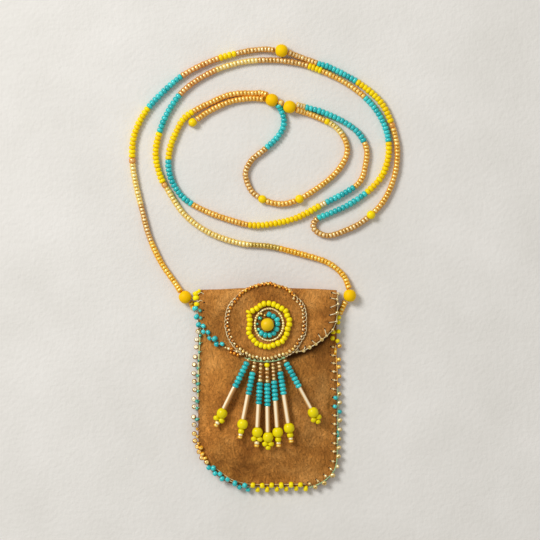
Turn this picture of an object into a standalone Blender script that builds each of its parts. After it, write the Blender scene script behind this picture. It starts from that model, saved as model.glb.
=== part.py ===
"""A beaded medicine bag: a flat suede pouch with a hinged flap, bead edging, a rosette with a bead
fringe, and a long beaded strap with a second strand laid inside its loops.

Units are metres. The bag lies on its back: the origin is on the underside of the back panel, at
the middle of the pouch. +Y runs up to the fold and the strap, +Z out of the front.
"""

import math

import bmesh
import bpy
from mathutils import Vector

MM = 0.001

# Pouch
POUCH_WIDTH = 65 * MM
POUCH_LENGTH = 92 * MM
LEFT_CORNER_RADIUS = 23 * MM
RIGHT_CORNER_RADIUS = 12 * MM
SUEDE = 1.3 * MM
CAVITY_DEPTH = 5.3 * MM
SEAM_WIDTH = 3 * MM
MOUTH_SETBACK = 4 * MM
GAP = 0.3 * MM

# Flap
FOLD_REACH = 4 * MM
FOLD_LEAD = 0.6 * MM
FLAP_STRAIGHT = 6.5 * MM
FLAP_ROUND = 20.5 * MM
FLAP_SIDE_LIFT = 0.8 * MM

# Beads: outer radius, and length along the thread
SEED_RADIUS = 1.45 * MM
SEED_LENGTH = 1.9 * MM
SMALL_RADIUS = 1.05 * MM
SMALL_LENGTH = 1.65 * MM
TIP_RADIUS = 1.15 * MM
TIP_LENGTH = 1.7 * MM
DROP_RADIUS = 2.5 * MM
BUGLE_RADIUS = 1.0 * MM
BUGLE_LENGTH = 11 * MM
THREAD_RADIUS = 0.35 * MM
BEAD_SHOULDER = 0.5
BEAD_CHAMFER = 0.6
WAIST_SHARE = 0.7

# Edging: where its runs start and end, and how far apart its beads are along the seam
EDGING_LEFT_START = 15 * MM
EDGING_RIGHT_END = 14 * MM
AMBER_RUN = 24 * MM
RUN_GAP = 3.4 * MM
SINGLE_PITCH = 4.2 * MM
AMBER_PITCH = 3.6 * MM
ZIGZAG_PITCH = 2.3 * MM
EDGE_EXTRA = 0.15 * MM
SEAM_EXTRA = 0.1 * MM
RIM_EXTRA = 0.05 * MM
CLEAR_CORNER_SHARE = 0.55

# Rosette
PATCH_RADIUS = 19 * MM
PATCH_THICKNESS = 1.3 * MM
PATCH_OVERHANG = 3.5 * MM
ROSETTE_OFFSET = Vector((0.7 * MM, -0.7 * MM, 0))
YELLOW_RING_RADIUS = 9.6 * MM
YELLOW_RING_COUNT = 30
GOLD_RING_RADIUS = 7.0 * MM
GOLD_RING_BEAD = 0.6 * MM
GOLD_RING_COUNT = 20
TURQUOISE_RING_RADIUS = 4.7 * MM
TURQUOISE_RING_COUNT = 12
CENTRE_BEAD_RADIUS = 3.0 * MM

# Strap and second strand
STRAND_RADIUS = 1.45 * MM
FLOOR_CLEARANCE = 0.05 * MM
STRAND_STEP = 10.5 * MM
LARGE_BEAD_RADIUS = 3.0 * MM
END_BEAD_RADIUS = 2.0 * MM
LINK_RADIUS = 1.3 * MM
LINK_DROP = 3.5 * MM
BEAD_LEAD = 2 * MM

# Worked out from the sizes above
HALF_WIDTH = POUCH_WIDTH / 2
FOLD_TOP = POUCH_LENGTH / 2
BOTTOM = -POUCH_LENGTH / 2
HINGE_Y = FOLD_TOP - FOLD_REACH
MOUTH_Y = HINGE_Y - MOUTH_SETBACK
SEAM_TOP = 2 * SUEDE + GAP
DOME_RISE = CAVITY_DEPTH - GAP
FLAP_TOP = SEAM_TOP + DOME_RISE + GAP + SUEDE
PATCH_Z = FLAP_TOP + GAP
PATCH_Y = FOLD_TOP + PATCH_OVERHANG - PATCH_RADIUS
PATCH_TOP = PATCH_Z + PATCH_THICKNESS
STRAND_Z = STRAND_RADIUS + FLOOR_CLEARANCE
LARGE_BEAD_Z = LARGE_BEAD_RADIUS + FLOOR_CLEARANCE

# Colours (linear RGB), roughness, metallic
FINISHES = {
    "suede": ((0.40, 0.17, 0.055), 0.95, 0.0),
    "turquoise": ((0.03, 0.45, 0.42), 0.2, 0.0),
    "yellow": ((0.85, 0.60, 0.01), 0.25, 0.0),
    "amber": ((0.80, 0.33, 0.01), 0.25, 0.0),
    "gold": ((0.75, 0.42, 0.10), 0.25, 0.6),
    "pale_gold": ((0.80, 0.62, 0.30), 0.25, 0.4),
    "champagne": ((0.75, 0.55, 0.28), 0.35, 0.5),
}


def material(name):
    """The named Principled material, made once and shared."""
    made = bpy.data.materials.get(name)
    if made:
        return made
    colour, roughness, metallic = FINISHES[name]
    made = bpy.data.materials.new(name)
    made.use_nodes = True
    shader = made.node_tree.nodes["Principled BSDF"]
    shader.inputs["Base Color"].default_value = (*colour, 1)
    shader.inputs["Roughness"].default_value = roughness
    shader.inputs["Metallic"].default_value = metallic
    return made


def start_scene():
    """Empty the scene and make the collection that holds the bag."""
    for old in list(bpy.data.objects):
        bpy.data.objects.remove(old)
    bag = bpy.data.collections.new("medicine_bag")
    bpy.context.scene.collection.children.link(bag)
    return bag


BAG = start_scene()


def place(name, data, finish):
    """Put an object with its own material into the bag's collection."""
    made = bpy.data.objects.new(name, data)
    own = material(finish).copy()
    own.name = name
    data.materials.append(own)
    BAG.objects.link(made)
    return made


# The outline of the pouch


def arc(centre, radius, start, end, steps):
    """Points on an arc, with angles in degrees."""
    turn = [math.radians(start + (end - start) * i / steps) for i in range(steps + 1)]
    return [centre + radius * Vector((math.cos(a), math.sin(a))) for a in turn]


def seam_path(outwards, corner_steps=10):
    """The seam from the left of the mouth, down, along the bottom and up the right side,
    pushed outwards from the suede's edge."""
    left = Vector((LEFT_CORNER_RADIUS - HALF_WIDTH, BOTTOM + LEFT_CORNER_RADIUS))
    right = Vector((HALF_WIDTH - RIGHT_CORNER_RADIUS, BOTTOM + RIGHT_CORNER_RADIUS))
    path = [Vector((-HALF_WIDTH - outwards, HINGE_Y - GAP))]
    path += arc(left, LEFT_CORNER_RADIUS + outwards, 180, 270, corner_steps)
    path += arc(right, RIGHT_CORNER_RADIUS + outwards, 270, 360, corner_steps)
    path.append(Vector((HALF_WIDTH + outwards, HINGE_Y - GAP)))
    return path


def seam_lengths():
    """How far along the suede's edge each part of the seam ends, from the left of the mouth:
    left side, left corner, bottom, right corner, right side."""
    quarter = math.pi / 2
    parts = [
        HINGE_Y - GAP - BOTTOM - LEFT_CORNER_RADIUS,
        LEFT_CORNER_RADIUS * quarter,
        POUCH_WIDTH - LEFT_CORNER_RADIUS - RIGHT_CORNER_RADIUS,
        RIGHT_CORNER_RADIUS * quarter,
        HINGE_Y - GAP - BOTTOM - RIGHT_CORNER_RADIUS,
    ]
    return [sum(parts[: i + 1]) for i in range(len(parts))]


def on_seam(distance, outwards, height):
    """The point at a distance along the suede's edge, moved outwards and up."""
    ends = seam_lengths()
    if distance < ends[0]:
        flat = Vector((-HALF_WIDTH - outwards, HINGE_Y - GAP - distance))
    elif distance < ends[1]:
        angle = math.pi + (distance - ends[0]) / LEFT_CORNER_RADIUS
        centre = Vector((LEFT_CORNER_RADIUS - HALF_WIDTH, BOTTOM + LEFT_CORNER_RADIUS))
        flat = centre + (LEFT_CORNER_RADIUS + outwards) * Vector((math.cos(angle), math.sin(angle)))
    elif distance < ends[2]:
        flat = Vector((LEFT_CORNER_RADIUS - HALF_WIDTH + distance - ends[1], BOTTOM - outwards))
    elif distance < ends[3]:
        angle = 1.5 * math.pi + (distance - ends[2]) / RIGHT_CORNER_RADIUS
        centre = Vector((HALF_WIDTH - RIGHT_CORNER_RADIUS, BOTTOM + RIGHT_CORNER_RADIUS))
        flat = centre + (RIGHT_CORNER_RADIUS + outwards) * Vector((math.cos(angle), math.sin(angle)))
    else:
        flat = Vector((HALF_WIDTH + outwards, BOTTOM + RIGHT_CORNER_RADIUS + distance - ends[3]))
    return Vector((flat.x, flat.y, height))


def side_limits(y):
    """The pouch's left and right edge at a height y."""
    left, right = -HALF_WIDTH, HALF_WIDTH
    drop = BOTTOM + LEFT_CORNER_RADIUS - y
    if drop > 0:
        left += LEFT_CORNER_RADIUS - math.sqrt(max(LEFT_CORNER_RADIUS**2 - drop**2, 0))
    drop = BOTTOM + RIGHT_CORNER_RADIUS - y
    if drop > 0:
        right -= RIGHT_CORNER_RADIUS - math.sqrt(max(RIGHT_CORNER_RADIUS**2 - drop**2, 0))
    return left, right


# Suede


def grid_sheet(name, columns, rows, shape, finish):
    """A sheet of suede: a plain grid whose points are moved by shape(u, v), with u from -1 at
    the left to 1 at the right and v from 0 at the top row to 1 at the bottom, given a thickness
    under its outer face."""
    mesh = bpy.data.meshes.new(name)
    bm = bmesh.new()
    bmesh.ops.create_grid(bm, x_segments=columns, y_segments=rows, size=1)
    for vertex in bm.verts:
        vertex.co = shape(vertex.co.x, (1 - vertex.co.y) / 2)
    for face in bm.faces:
        face.smooth = True
    bm.to_mesh(mesh)
    bm.free()
    made = place(name, mesh, finish)
    wall = made.modifiers.new("thickness", "SOLIDIFY")
    wall.thickness = SUEDE
    wall.offset = -1
    wall.use_even_offset = True
    return made


def dome(share_across, share_down):
    """How far the front stands up, from 0 at the seam to 1 in the middle."""
    across = max(0.0, 1 - abs(share_across) ** 4)
    down = max(0.0, 1 - share_down**5)
    return across * down


def back_panel():
    curve = bpy.data.curves.new("back_panel", "CURVE")
    curve.dimensions = "2D"
    curve.fill_mode = "BOTH"
    curve.extrude = SUEDE / 2
    points = seam_path(0)
    spline = curve.splines.new("POLY")
    spline.points.add(len(points) - 1)
    for slot, point in zip(spline.points, points):
        slot.co = (point.x, point.y, 0, 1)
    spline.use_cyclic_u = True
    made = place("back_panel", curve, "suede")
    made.location.z = SUEDE / 2
    return made


def front_surface(x, y):
    """The height of the front panel's outer face."""
    left, right = side_limits(max(y, BOTTOM))
    middle, half = (left + right) / 2, (right - left) / 2 - SEAM_WIDTH
    share_down = (MOUTH_Y - y) / (MOUTH_Y - BOTTOM - SEAM_WIDTH)
    return SEAM_TOP + DOME_RISE * dome((x - middle) / half, min(max(share_down, 0), 1))


def front_panel():
    columns, rows = 12, 10

    def shape(u, v):
        y = MOUTH_Y + (BOTTOM - MOUTH_Y) * math.sin(v * math.pi / 2)
        left, right = side_limits(y)
        x = (left + right) / 2 + (right - left) / 2 * math.sin(u * math.pi / 2)
        return Vector((x, y, front_surface(x, y)))

    return grid_sheet("front_panel", columns, rows, shape, "suede")


def flap_surface(x):
    """The height of the flap's outer face: flat over the middle, lower at the sides."""
    share = min(abs(x) / HALF_WIDTH, 1)
    return FLAP_TOP - (DOME_RISE - FLAP_SIDE_LIFT) * share**4


def flap_edge(x):
    """How far down the flap reaches at x."""
    share = min(abs(x) / HALF_WIDTH, 1)
    return HINGE_Y - FLAP_STRAIGHT - FLAP_ROUND * math.sqrt(1 - share**2)


def flap():
    columns, rows = 10, 12
    fold_rows = 7

    def shape(u, v):
        """One flat row at the crease, then the fold, a half ellipse, then the flat part."""
        x = HALF_WIDTH * math.sin(u * math.pi / 2)
        top = flap_surface(x)
        row = v * rows
        if row < 0.5:
            return Vector((x, HINGE_Y, 0))
        fold_start = HINGE_Y + FOLD_LEAD
        if row < fold_rows + 0.5:
            turn = math.pi * (row - 1) / (fold_rows - 1)
            y = fold_start + (FOLD_REACH - FOLD_LEAD) * math.sin(turn)
            return Vector((x, y, top / 2 * (1 - math.cos(turn))))
        share = (row - fold_rows) / (rows - fold_rows)
        return Vector((x, fold_start + (flap_edge(x) - fold_start) * share, top))

    return grid_sheet("flap", columns, rows, shape, "suede")


def disc(name, centre, radius, thickness, finish, sides=32):
    """A flat round patch with softened edges, on its underside's centre."""
    mesh = bpy.data.meshes.new(name)
    bm = bmesh.new()
    bmesh.ops.create_cone(
        bm, cap_ends=True, segments=sides, radius1=radius, radius2=radius, depth=thickness
    )
    bmesh.ops.translate(bm, verts=bm.verts, vec=centre + Vector((0, 0, thickness / 2)))
    bm.to_mesh(mesh)
    bm.free()
    made = place(name, mesh, finish)
    edge = made.modifiers.new("edge", "BEVEL")
    edge.width = thickness / 3
    edge.segments = 1
    return made


# Beads


def round_bead(name, centre, radius, finish, around=10, down=6):
    mesh = bpy.data.meshes.new(name)
    bm = bmesh.new()
    bmesh.ops.create_uvsphere(bm, u_segments=around, v_segments=down, radius=radius)
    bmesh.ops.translate(bm, verts=bm.verts, vec=centre)
    for face in bm.faces:
        face.smooth = True
    bm.to_mesh(mesh)
    bm.free()
    return place(name, mesh, finish)


def strung(name, beads, finish, closed=False, way=None, fine=False):
    """Beads fused along their thread: beads holds (centre, radius, length) in order. Each bead
    is a barrel with two shoulders, or one ridge if it is fine, and the thread shows between
    beads that stand apart. A lone bead takes its direction from way."""
    rings = []
    count = len(beads)
    axes = [way] if count == 1 else []
    for i in range(count if count > 1 else 0):
        before = beads[i - 1][0] if i or closed else beads[0][0]
        after = beads[(i + 1) % count][0] if i < count - 1 or closed else beads[i][0]
        axes.append((after - before).normalized())
    for i, (centre, radius, length) in enumerate(beads):
        half = length / 2
        shoulder = axes[i] * max(half * BEAD_SHOULDER, half - BEAD_CHAMFER * radius)
        if i == 0 and not closed:
            rings.append((centre - axes[i] * half, THREAD_RADIUS))
        rings += [(centre, radius)] if fine else [(centre - shoulder, radius), (centre + shoulder, radius)]
        if i == count - 1 and not closed:
            rings.append((centre + axes[i] * half, THREAD_RADIUS))
            continue
        after, next_radius, next_length = beads[(i + 1) % count]
        if (after - centre).length > half + next_length / 2 + THREAD_RADIUS:
            rings.append((centre + axes[i] * half, THREAD_RADIUS))
            rings.append((after - axes[(i + 1) % count] * next_length / 2, THREAD_RADIUS))
        else:
            waist = max(THREAD_RADIUS, WAIST_SHARE * min(radius, next_radius))
            rings.append((centre.lerp(after, 0.5), waist))
    curve = bpy.data.curves.new(name, "CURVE")
    curve.dimensions = "3D"
    curve.bevel_depth = 1
    curve.bevel_resolution = 1
    curve.use_fill_caps = True
    spline = curve.splines.new("POLY")
    spline.points.add(len(rings) - 1)
    for slot, (point, radius) in zip(spline.points, rings):
        slot.co = (*point, 1)
        slot.radius = radius
    spline.use_cyclic_u = closed
    return place(name, curve, finish)


def seeds(points, radius=SEED_RADIUS, length=SEED_LENGTH):
    return [(point, radius, length) for point in points]


def spaced(start, end, count):
    return [start + (end - start) * i / (count - 1) for i in range(count)]


# Bead edging of the pouch. Each run starts and ends at a share of one part of the seam. A plain
# run lies beside the suede's edge; a zigzag run goes from beside the edge to on top of the seam.

BESIDE = SEED_RADIUS + GAP + EDGE_EXTRA
ON_SEAM = SEAM_TOP + GAP + SEED_RADIUS + SEAM_EXTRA
LOW_EDGE_Z = SEED_RADIUS + FLOOR_CLEARANCE


def edging(name, start, end, pitch, finish, zigzag):
    beads = []
    for i, distance in enumerate(spaced(start, end, round((end - start) / pitch) + 1)):
        on_top = zigzag and i % 2 == 1
        outwards = 0.0 if on_top else BESIDE
        beads.append(on_seam(distance, outwards, ON_SEAM if on_top else LOW_EDGE_Z))
    return strung(name, seeds(beads), finish)


def pouch_edging():
    side, corner, bottom, _, top = seam_lengths()
    start, end = EDGING_LEFT_START, side + CLEAR_CORNER_SHARE * (corner - side)
    edging("edging_left_clear", start, end, SINGLE_PITCH, "pale_gold", False)
    edging("edging_corner_turquoise", end + RUN_GAP, corner, ZIGZAG_PITCH, "turquoise", True)
    edging("edging_bottom_yellow", corner + RUN_GAP, bottom, ZIGZAG_PITCH, "yellow", True)
    end = top - EDGING_RIGHT_END - AMBER_RUN
    edging("edging_right_clear", bottom + RUN_GAP, end, ZIGZAG_PITCH, "pale_gold", True)
    edging("edging_right_amber", end + RUN_GAP, top - EDGING_RIGHT_END, AMBER_PITCH, "amber", False)


# Bead edging of the flap: beside its edge, at the middle of its thickness.


def flap_rim(x_share, outwards):
    """A point beside the flap's round edge: x_share goes from -1 at the left end of the round
    part to 1 at the right."""
    angle = x_share * math.pi / 2
    flat = Vector(((HALF_WIDTH + outwards) * math.sin(angle), 0, 0))
    edge_x = HALF_WIDTH * math.sin(angle)
    flat.y = HINGE_Y - FLAP_STRAIGHT - (FLAP_ROUND + outwards) * math.cos(angle)
    flat.z = max(flap_surface(edge_x) - SUEDE / 2, SEAM_TOP + GAP + SEED_RADIUS)
    return flat


def flap_side(side, down, outwards):
    """A point beside the flap's straight edge, a distance below the hinge."""
    point = flap_rim(side, outwards)
    point.y = HINGE_Y - down
    return point


def flap_edging():
    beside = SEED_RADIUS + GAP + RIM_EXTRA
    corner = [flap_side(-1, down, beside) for down in (-1.0 * MM, 1.6 * MM, 4.2 * MM)]
    strung("flap_edging_yellow", seeds(corner), "yellow")
    rim = [flap_rim(share, beside) for share in spaced(-1.0, -0.48, 10)]
    strung("flap_edging_turquoise", seeds(rim), "turquoise")
    rim = [flap_side(1, down, beside) for down in (-1.0 * MM, 2.6 * MM)]
    rim += [flap_rim(share, beside) for share in spaced(0.98, 0.42, 10)]
    strung("flap_edging_pale", seeds(rim), "pale_gold")


# Rosette


def bead_ring(name, radius, count, bead_radius, finish, fine=False):
    """Beads threaded side by side in a circle that lies on the patch."""
    centre = Vector((0, PATCH_Y, PATCH_TOP + GAP + bead_radius)) + ROSETTE_OFFSET
    points = []
    for i in range(count):
        angle = 2 * math.pi * i / count
        points.append(centre + radius * Vector((math.cos(angle), math.sin(angle), 0)))
    pitch = 2 * math.pi * radius / count
    return strung(name, seeds(points, bead_radius, pitch), finish, closed=True, fine=fine)


def rosette():
    disc("medallion_patch", Vector((0, PATCH_Y, PATCH_Z)), PATCH_RADIUS, PATCH_THICKNESS, "suede")
    bead_ring("rosette_yellow_ring", YELLOW_RING_RADIUS, YELLOW_RING_COUNT, SEED_RADIUS, "yellow")
    bead_ring("rosette_gold_ring", GOLD_RING_RADIUS, GOLD_RING_COUNT, GOLD_RING_BEAD, "gold", fine=True)
    bead_ring(
        "rosette_turquoise_ring", TURQUOISE_RING_RADIUS, TURQUOISE_RING_COUNT, SEED_RADIUS, "turquoise"
    )
    centre = Vector((0, PATCH_Y, PATCH_TOP + GAP + CENTRE_BEAD_RADIUS)) + ROSETTE_OFFSET
    round_bead("rosette_centre_bead", centre, CENTRE_BEAD_RADIUS, "yellow")


# Fringe. Each row: x at the patch, x and y at the drop bead, gold beads, turquoise beads, and
# whether the strand ends in a cluster of three tip beads or in two beads in line.

FRINGE = (
    (-8.6, -21.2, -11.5, 1, 7, "cluster"),
    (-5.8, -11.6, -16.5, 3, 6, "line"),
    (-3.0, -4.7, -20.3, 5, 6, "cluster"),
    (-0.2, 0.3, -22.6, 5, 6, "cluster"),
    (2.5, 4.8, -20.3, 5, 5, "line"),
    (5.2, 10.1, -18.3, 3, 6, "line"),
    (7.8, 21.3, -11.1, 1, 7, "cluster"),
)


def fringe_line(x_top, x_drop, y_drop):
    """The straight line of a strand: from the patch's edge down to its drop bead, which lies on
    the front panel. Gives its top and its drop bead's centre."""
    below = math.sqrt((PATCH_RADIUS + GAP) ** 2 - x_top**2)
    top = Vector((x_top, PATCH_Y - below, PATCH_Z + PATCH_THICKNESS / 2))
    drop = Vector((x_drop, y_drop, front_surface(x_drop, y_drop) + GAP + DROP_RADIUS))
    return top, drop


def fringe_beads(number, top, drop, gold, turquoise):
    """The beads above the drop bead: they share what room the bugle leaves."""
    way = (drop - top).normalized()
    room = (drop - top).length - DROP_RADIUS - BUGLE_LENGTH - 4 * GAP
    share = room / (gold * SMALL_LENGTH + turquoise * SEED_LENGTH)
    start = 0.0
    runs = (
        ("gold", "gold", gold, SMALL_RADIUS, SMALL_LENGTH * share),
        ("turquoise", "turquoise", turquoise, SEED_RADIUS, SEED_LENGTH * share),
        ("bugle", "champagne", 1, BUGLE_RADIUS, BUGLE_LENGTH),
    )
    for kind, finish, count, radius, length in runs:
        centres = [top + way * (start + length * (i + 0.5)) for i in range(count)]
        beads = seeds(centres, radius, length)
        strung(f"fringe_{number}_{kind}", beads, finish, way=way, fine=kind == "gold")
        start += count * length + GAP


def fringe_drop(number, drop, way, ending):
    """The drop bead and the tip beads under it, on one thread."""
    beads = [(drop, DROP_RADIUS, 2 * DROP_RADIUS)]
    below = drop + way * (DROP_RADIUS + TIP_RADIUS + GAP)
    if ending == "cluster":
        side = Vector((-way.y, way.x, 0)).normalized() * (TIP_RADIUS + GAP)
        tips = (below - side, below + way * 1.5 * TIP_RADIUS, below + side)
    else:
        tips = (below, below + way * (2 * TIP_RADIUS + GAP))
    beads += seeds(tips, TIP_RADIUS, TIP_LENGTH)
    strung(f"fringe_{number}_drop", beads, "yellow")


def fringe():
    for number, (x_top, x_drop, y_drop, gold, turquoise, ending) in enumerate(FRINGE, 1):
        top, drop = fringe_line(x_top * MM, x_drop * MM, y_drop * MM)
        fringe_beads(number, top, drop, gold, turquoise)
        fringe_drop(number, drop, (drop - top).normalized(), ending)


# Strap and second strand. The routes are chosen by hand, in millimetres, as the strands lie.

STRAP_LEFT_BEAD = Vector((-38.6 * MM, 42.7 * MM, LARGE_BEAD_Z))
STRAP_RIGHT_BEAD = Vector((38.6 * MM, 43.4 * MM, LARGE_BEAD_Z))
STRAP_TOP_BEAD = Vector((6.6 * MM, 158.3 * MM, LARGE_BEAD_Z))
STRAND_BEAD_1 = Vector((2.1 * MM, 135.1 * MM, LARGE_BEAD_Z))
STRAND_BEAD_2 = Vector((10.4 * MM, 131.9 * MM, LARGE_BEAD_Z))
STRAND_END_BEAD = Vector((-35.1 * MM, 124.7 * MM, END_BEAD_RADIUS + FLOOR_CLEARANCE))

STRAP_LEFT_ROUTE = (
    (-43.5, 49.5), (-50, 59), (-55.5, 71), (-59, 84), (-62.5, 97.5), (-64, 108.5), (-63, 119),
    (-58, 129.5), (-49.5, 138.5), (-39.5, 147), (-26.5, 153.5), (-13, 157.5), (-2.5, 159),
)
STRAP_RIGHT_ROUTE = (
    (16, 156), (30, 150.5), (42.5, 143.5), (53, 134.5), (58.5, 123.5), (61, 111.5), (59.5, 99),
    (54, 87), (44.5, 78), (35.5, 73.5), (28.5, 71.5), (23, 73.5), (21.5, 76.5), (23.5, 79.5),
    (29.5, 82), (39, 86.5), (48.5, 93.5), (54.5, 101), (57, 111), (55.5, 122), (49.5, 132.5),
    (39.5, 141.5), (26.5, 148.5), (14.5, 152.5), (2, 154), (-12, 153), (-26, 148.5),
    (-38.5, 140.5), (-46.5, 130), (-51, 119), (-52.5, 109.5), (-50.5, 100), (-46.5, 92.5),
    (-39, 81.5), (-27.5, 73), (-13, 68), (1, 66.5), (15.5, 63), (28, 59), (35.5, 53),
)
STRAND_LARGE_LOOP_ROUTE = (
    (-6.5, 140), (-13, 140), (-19.5, 138.5), (-26, 135.5), (-32, 131.5), (-38, 127), (-42.5, 121),
    (-45.5, 113.5), (-46.5, 107), (-46, 101), (-43.5, 94.5), (-38.5, 88.5), (-30, 83.5),
    (-19.5, 79.5), (-8, 76.5), (2, 77), (14, 80), (25.5, 86), (37, 92), (43.5, 97), (46, 104.5),
    (46.5, 112.5), (42.5, 120), (35, 127), (25, 131), (18.5, 133),
)
STRAND_SMALL_LOOP_ROUTE = (
    (6.5, 130), (7.5, 125.5), (6.5, 120), (3, 115.5), (-2, 111.5), (-7, 107.5), (-10, 102.5),
    (-10, 98), (-7.5, 92.5), (-3, 89), (2, 87), (8, 86.5), (14.5, 88.5), (21.5, 92.5), (29, 98),
    (34.5, 104), (37.5, 111), (36, 117.5), (31.5, 123), (25, 126.5), (19, 128.5),
)
STRAND_TAIL_ROUTE = ((-29, 129), (-22.5, 132.5), (-15.5, 135), (-8, 136))


def beside_bead(centre, radius, degrees, further=0.0):
    """Where a strand meets a bead, at an angle round the bead, or a point further out."""
    turn = math.radians(degrees)
    return centre + (radius + GAP + further) * Vector((math.cos(turn), math.sin(turn), 0))


def smooth(points):
    """Points about every STRAND_STEP along a smooth curve through the given ones, never below
    where a strand rests on the floor."""
    ends = [2 * points[0] - points[1], *points, 2 * points[-1] - points[-2]]
    made = [points[0]]
    for a, b, c, d in zip(ends, ends[1:], ends[2:], ends[3:]):
        steps = math.ceil((c - b).length / STRAND_STEP)
        for i in range(1, steps + 1):
            t = i / steps
            bend = (3 * b - a - 3 * c + d) * t**3 + (2 * a - 5 * b + 4 * c - d) * t**2
            point = (bend + (c - a) * t + 2 * b) / 2
            point.z = max(point.z, STRAND_Z)
            made.append(point)
    return made


def strand(name, start, route, end, finish):
    """A plain tube from one bead through the route to another. start and end are each
    (bead's centre, bead's radius, angle round the bead), and the strand leaves a bead straight."""
    points = [beside_bead(*start)]
    if route:
        points.append(beside_bead(*start, BEAD_LEAD))
        points += [Vector((x * MM, y * MM, STRAND_Z)) for x, y in route]
        points.append(beside_bead(*end, BEAD_LEAD))
    points.append(beside_bead(*end))
    points = smooth(points)
    curve = bpy.data.curves.new(name, "CURVE")
    curve.dimensions = "3D"
    curve.bevel_depth = STRAND_RADIUS
    curve.bevel_resolution = 2
    curve.use_fill_caps = True
    spline = curve.splines.new("POLY")
    spline.points.add(len(points) - 1)
    for slot, point in zip(spline.points, points):
        slot.co = (*point, 1)
    return place(name, curve, finish)


def strap():
    large = LARGE_BEAD_RADIUS
    left, right, top = STRAP_LEFT_BEAD, STRAP_RIGHT_BEAD, STRAP_TOP_BEAD
    round_bead("strap_bead_left", left, large, "amber")
    round_bead("strap_bead_right", right, large, "amber")
    round_bead("strap_bead_top", top, large, "amber")
    strand("strap_left_run", (left, large, 130), STRAP_LEFT_ROUTE, (top, large, 175), "pale_gold")
    strand("strap_right_run", (top, large, -14), STRAP_RIGHT_ROUTE, (right, large, 95), "turquoise")
    for side, bead, degrees in (("left", left, -42), ("right", right, -125)):
        start = beside_bead(bead, large, degrees) + Vector((0, 0, LINK_RADIUS - large))
        sign = math.copysign(1, bead.x)
        end = Vector((sign * (HALF_WIDTH + BESIDE), start.y - LINK_DROP, start.z))
        count = 2 if side == "left" else 3
        points = [start + (end - start) * (i + 0.5) / count for i in range(count)]
        strung(f"strap_link_{side}", seeds(points, LINK_RADIUS, SMALL_LENGTH), "gold")


def second_strand():
    large = LARGE_BEAD_RADIUS
    one, two, tip = STRAND_BEAD_1, STRAND_BEAD_2, STRAND_END_BEAD
    round_bead("strand_bead_1", one, large, "amber")
    round_bead("strand_bead_2", two, large, "amber")
    round_bead("strand_end_bead", tip, END_BEAD_RADIUS, "yellow")
    strand("strand_tail", (tip, END_BEAD_RADIUS, 35), STRAND_TAIL_ROUTE, (one, large, 182), "gold")
    small_start, small_end = (one, large, -72), (two, large, -24)
    strand("strand_small_loop", small_start, STRAND_SMALL_LOOP_ROUTE, small_end, "turquoise")
    strand("strand_cross_link", (two, large, 154), (), (one, large, -13), "gold")
    large_start, large_end = (one, large, 120), (two, large, 36)
    strand("strand_large_loop", large_start, STRAND_LARGE_LOOP_ROUTE, large_end, "gold")


back_panel()
front_panel()
pouch_edging()
flap()
flap_edging()
rosette()
fringe()
strap()
second_strand()
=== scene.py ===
"""The looks of the beaded medicine bag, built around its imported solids.

Units are metres. The bag lies on its back on a pale floor: +Y runs up to the fold and the strap,
+Z out of the front. Lists of places are in millimetres.
"""

import math
import random

import bmesh
import bpy
from mathutils import Matrix, Vector, noise
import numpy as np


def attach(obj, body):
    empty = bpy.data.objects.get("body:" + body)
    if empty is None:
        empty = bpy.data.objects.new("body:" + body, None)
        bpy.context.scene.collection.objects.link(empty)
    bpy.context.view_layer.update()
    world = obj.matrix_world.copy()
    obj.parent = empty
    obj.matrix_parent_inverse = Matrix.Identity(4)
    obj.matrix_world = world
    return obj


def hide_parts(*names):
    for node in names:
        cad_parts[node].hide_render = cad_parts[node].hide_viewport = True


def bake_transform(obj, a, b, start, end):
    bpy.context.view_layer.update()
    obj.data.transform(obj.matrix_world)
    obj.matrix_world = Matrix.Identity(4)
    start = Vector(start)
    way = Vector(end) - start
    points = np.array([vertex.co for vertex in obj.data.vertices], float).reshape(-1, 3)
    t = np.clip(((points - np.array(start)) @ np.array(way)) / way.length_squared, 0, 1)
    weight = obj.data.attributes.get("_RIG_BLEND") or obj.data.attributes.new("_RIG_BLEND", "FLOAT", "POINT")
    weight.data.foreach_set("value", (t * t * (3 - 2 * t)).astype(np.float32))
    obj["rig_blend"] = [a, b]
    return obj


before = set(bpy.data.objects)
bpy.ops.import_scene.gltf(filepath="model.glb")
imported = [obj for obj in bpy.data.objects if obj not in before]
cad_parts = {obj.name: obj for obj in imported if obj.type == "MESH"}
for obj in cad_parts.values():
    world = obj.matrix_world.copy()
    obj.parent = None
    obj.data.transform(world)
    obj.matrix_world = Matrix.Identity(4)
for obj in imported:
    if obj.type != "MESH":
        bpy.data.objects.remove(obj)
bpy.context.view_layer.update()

MM = 0.001

# Sizes that the solids were made with
HALF_WIDTH = 32.5 * MM
BOTTOM = -46 * MM
LEFT_CORNER = 23 * MM
RIGHT_CORNER = 12 * MM
SUEDE = 1.3 * MM
GAP = 0.3 * MM
SEAM_WIDTH = 3 * MM
SEAM_TOP = 2.9 * MM
DOME_RISE = 5.0 * MM
HINGE_Y = 42 * MM
MOUTH_Y = 38 * MM
FOLD_REACH = 4 * MM
FOLD_LEAD = 0.6 * MM
FLAP_STRAIGHT = 6.5 * MM
FLAP_ROUND = 20.5 * MM
FLAP_TOP = 9.5 * MM
FLAP_SIDE_DROP = 4.2 * MM
PATCH_Y = 30.5 * MM
PATCH_RADIUS = 19 * MM
PATCH_Z = 9.8 * MM
PATCH_TOP = 11.1 * MM
DROP_RADIUS = 2.5 * MM
STRAND_Z = 1.5 * MM
LARGE_BEAD = 3 * MM
LARGE_BEAD_Z = 3.05 * MM
END_BEAD = 2 * MM

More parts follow.
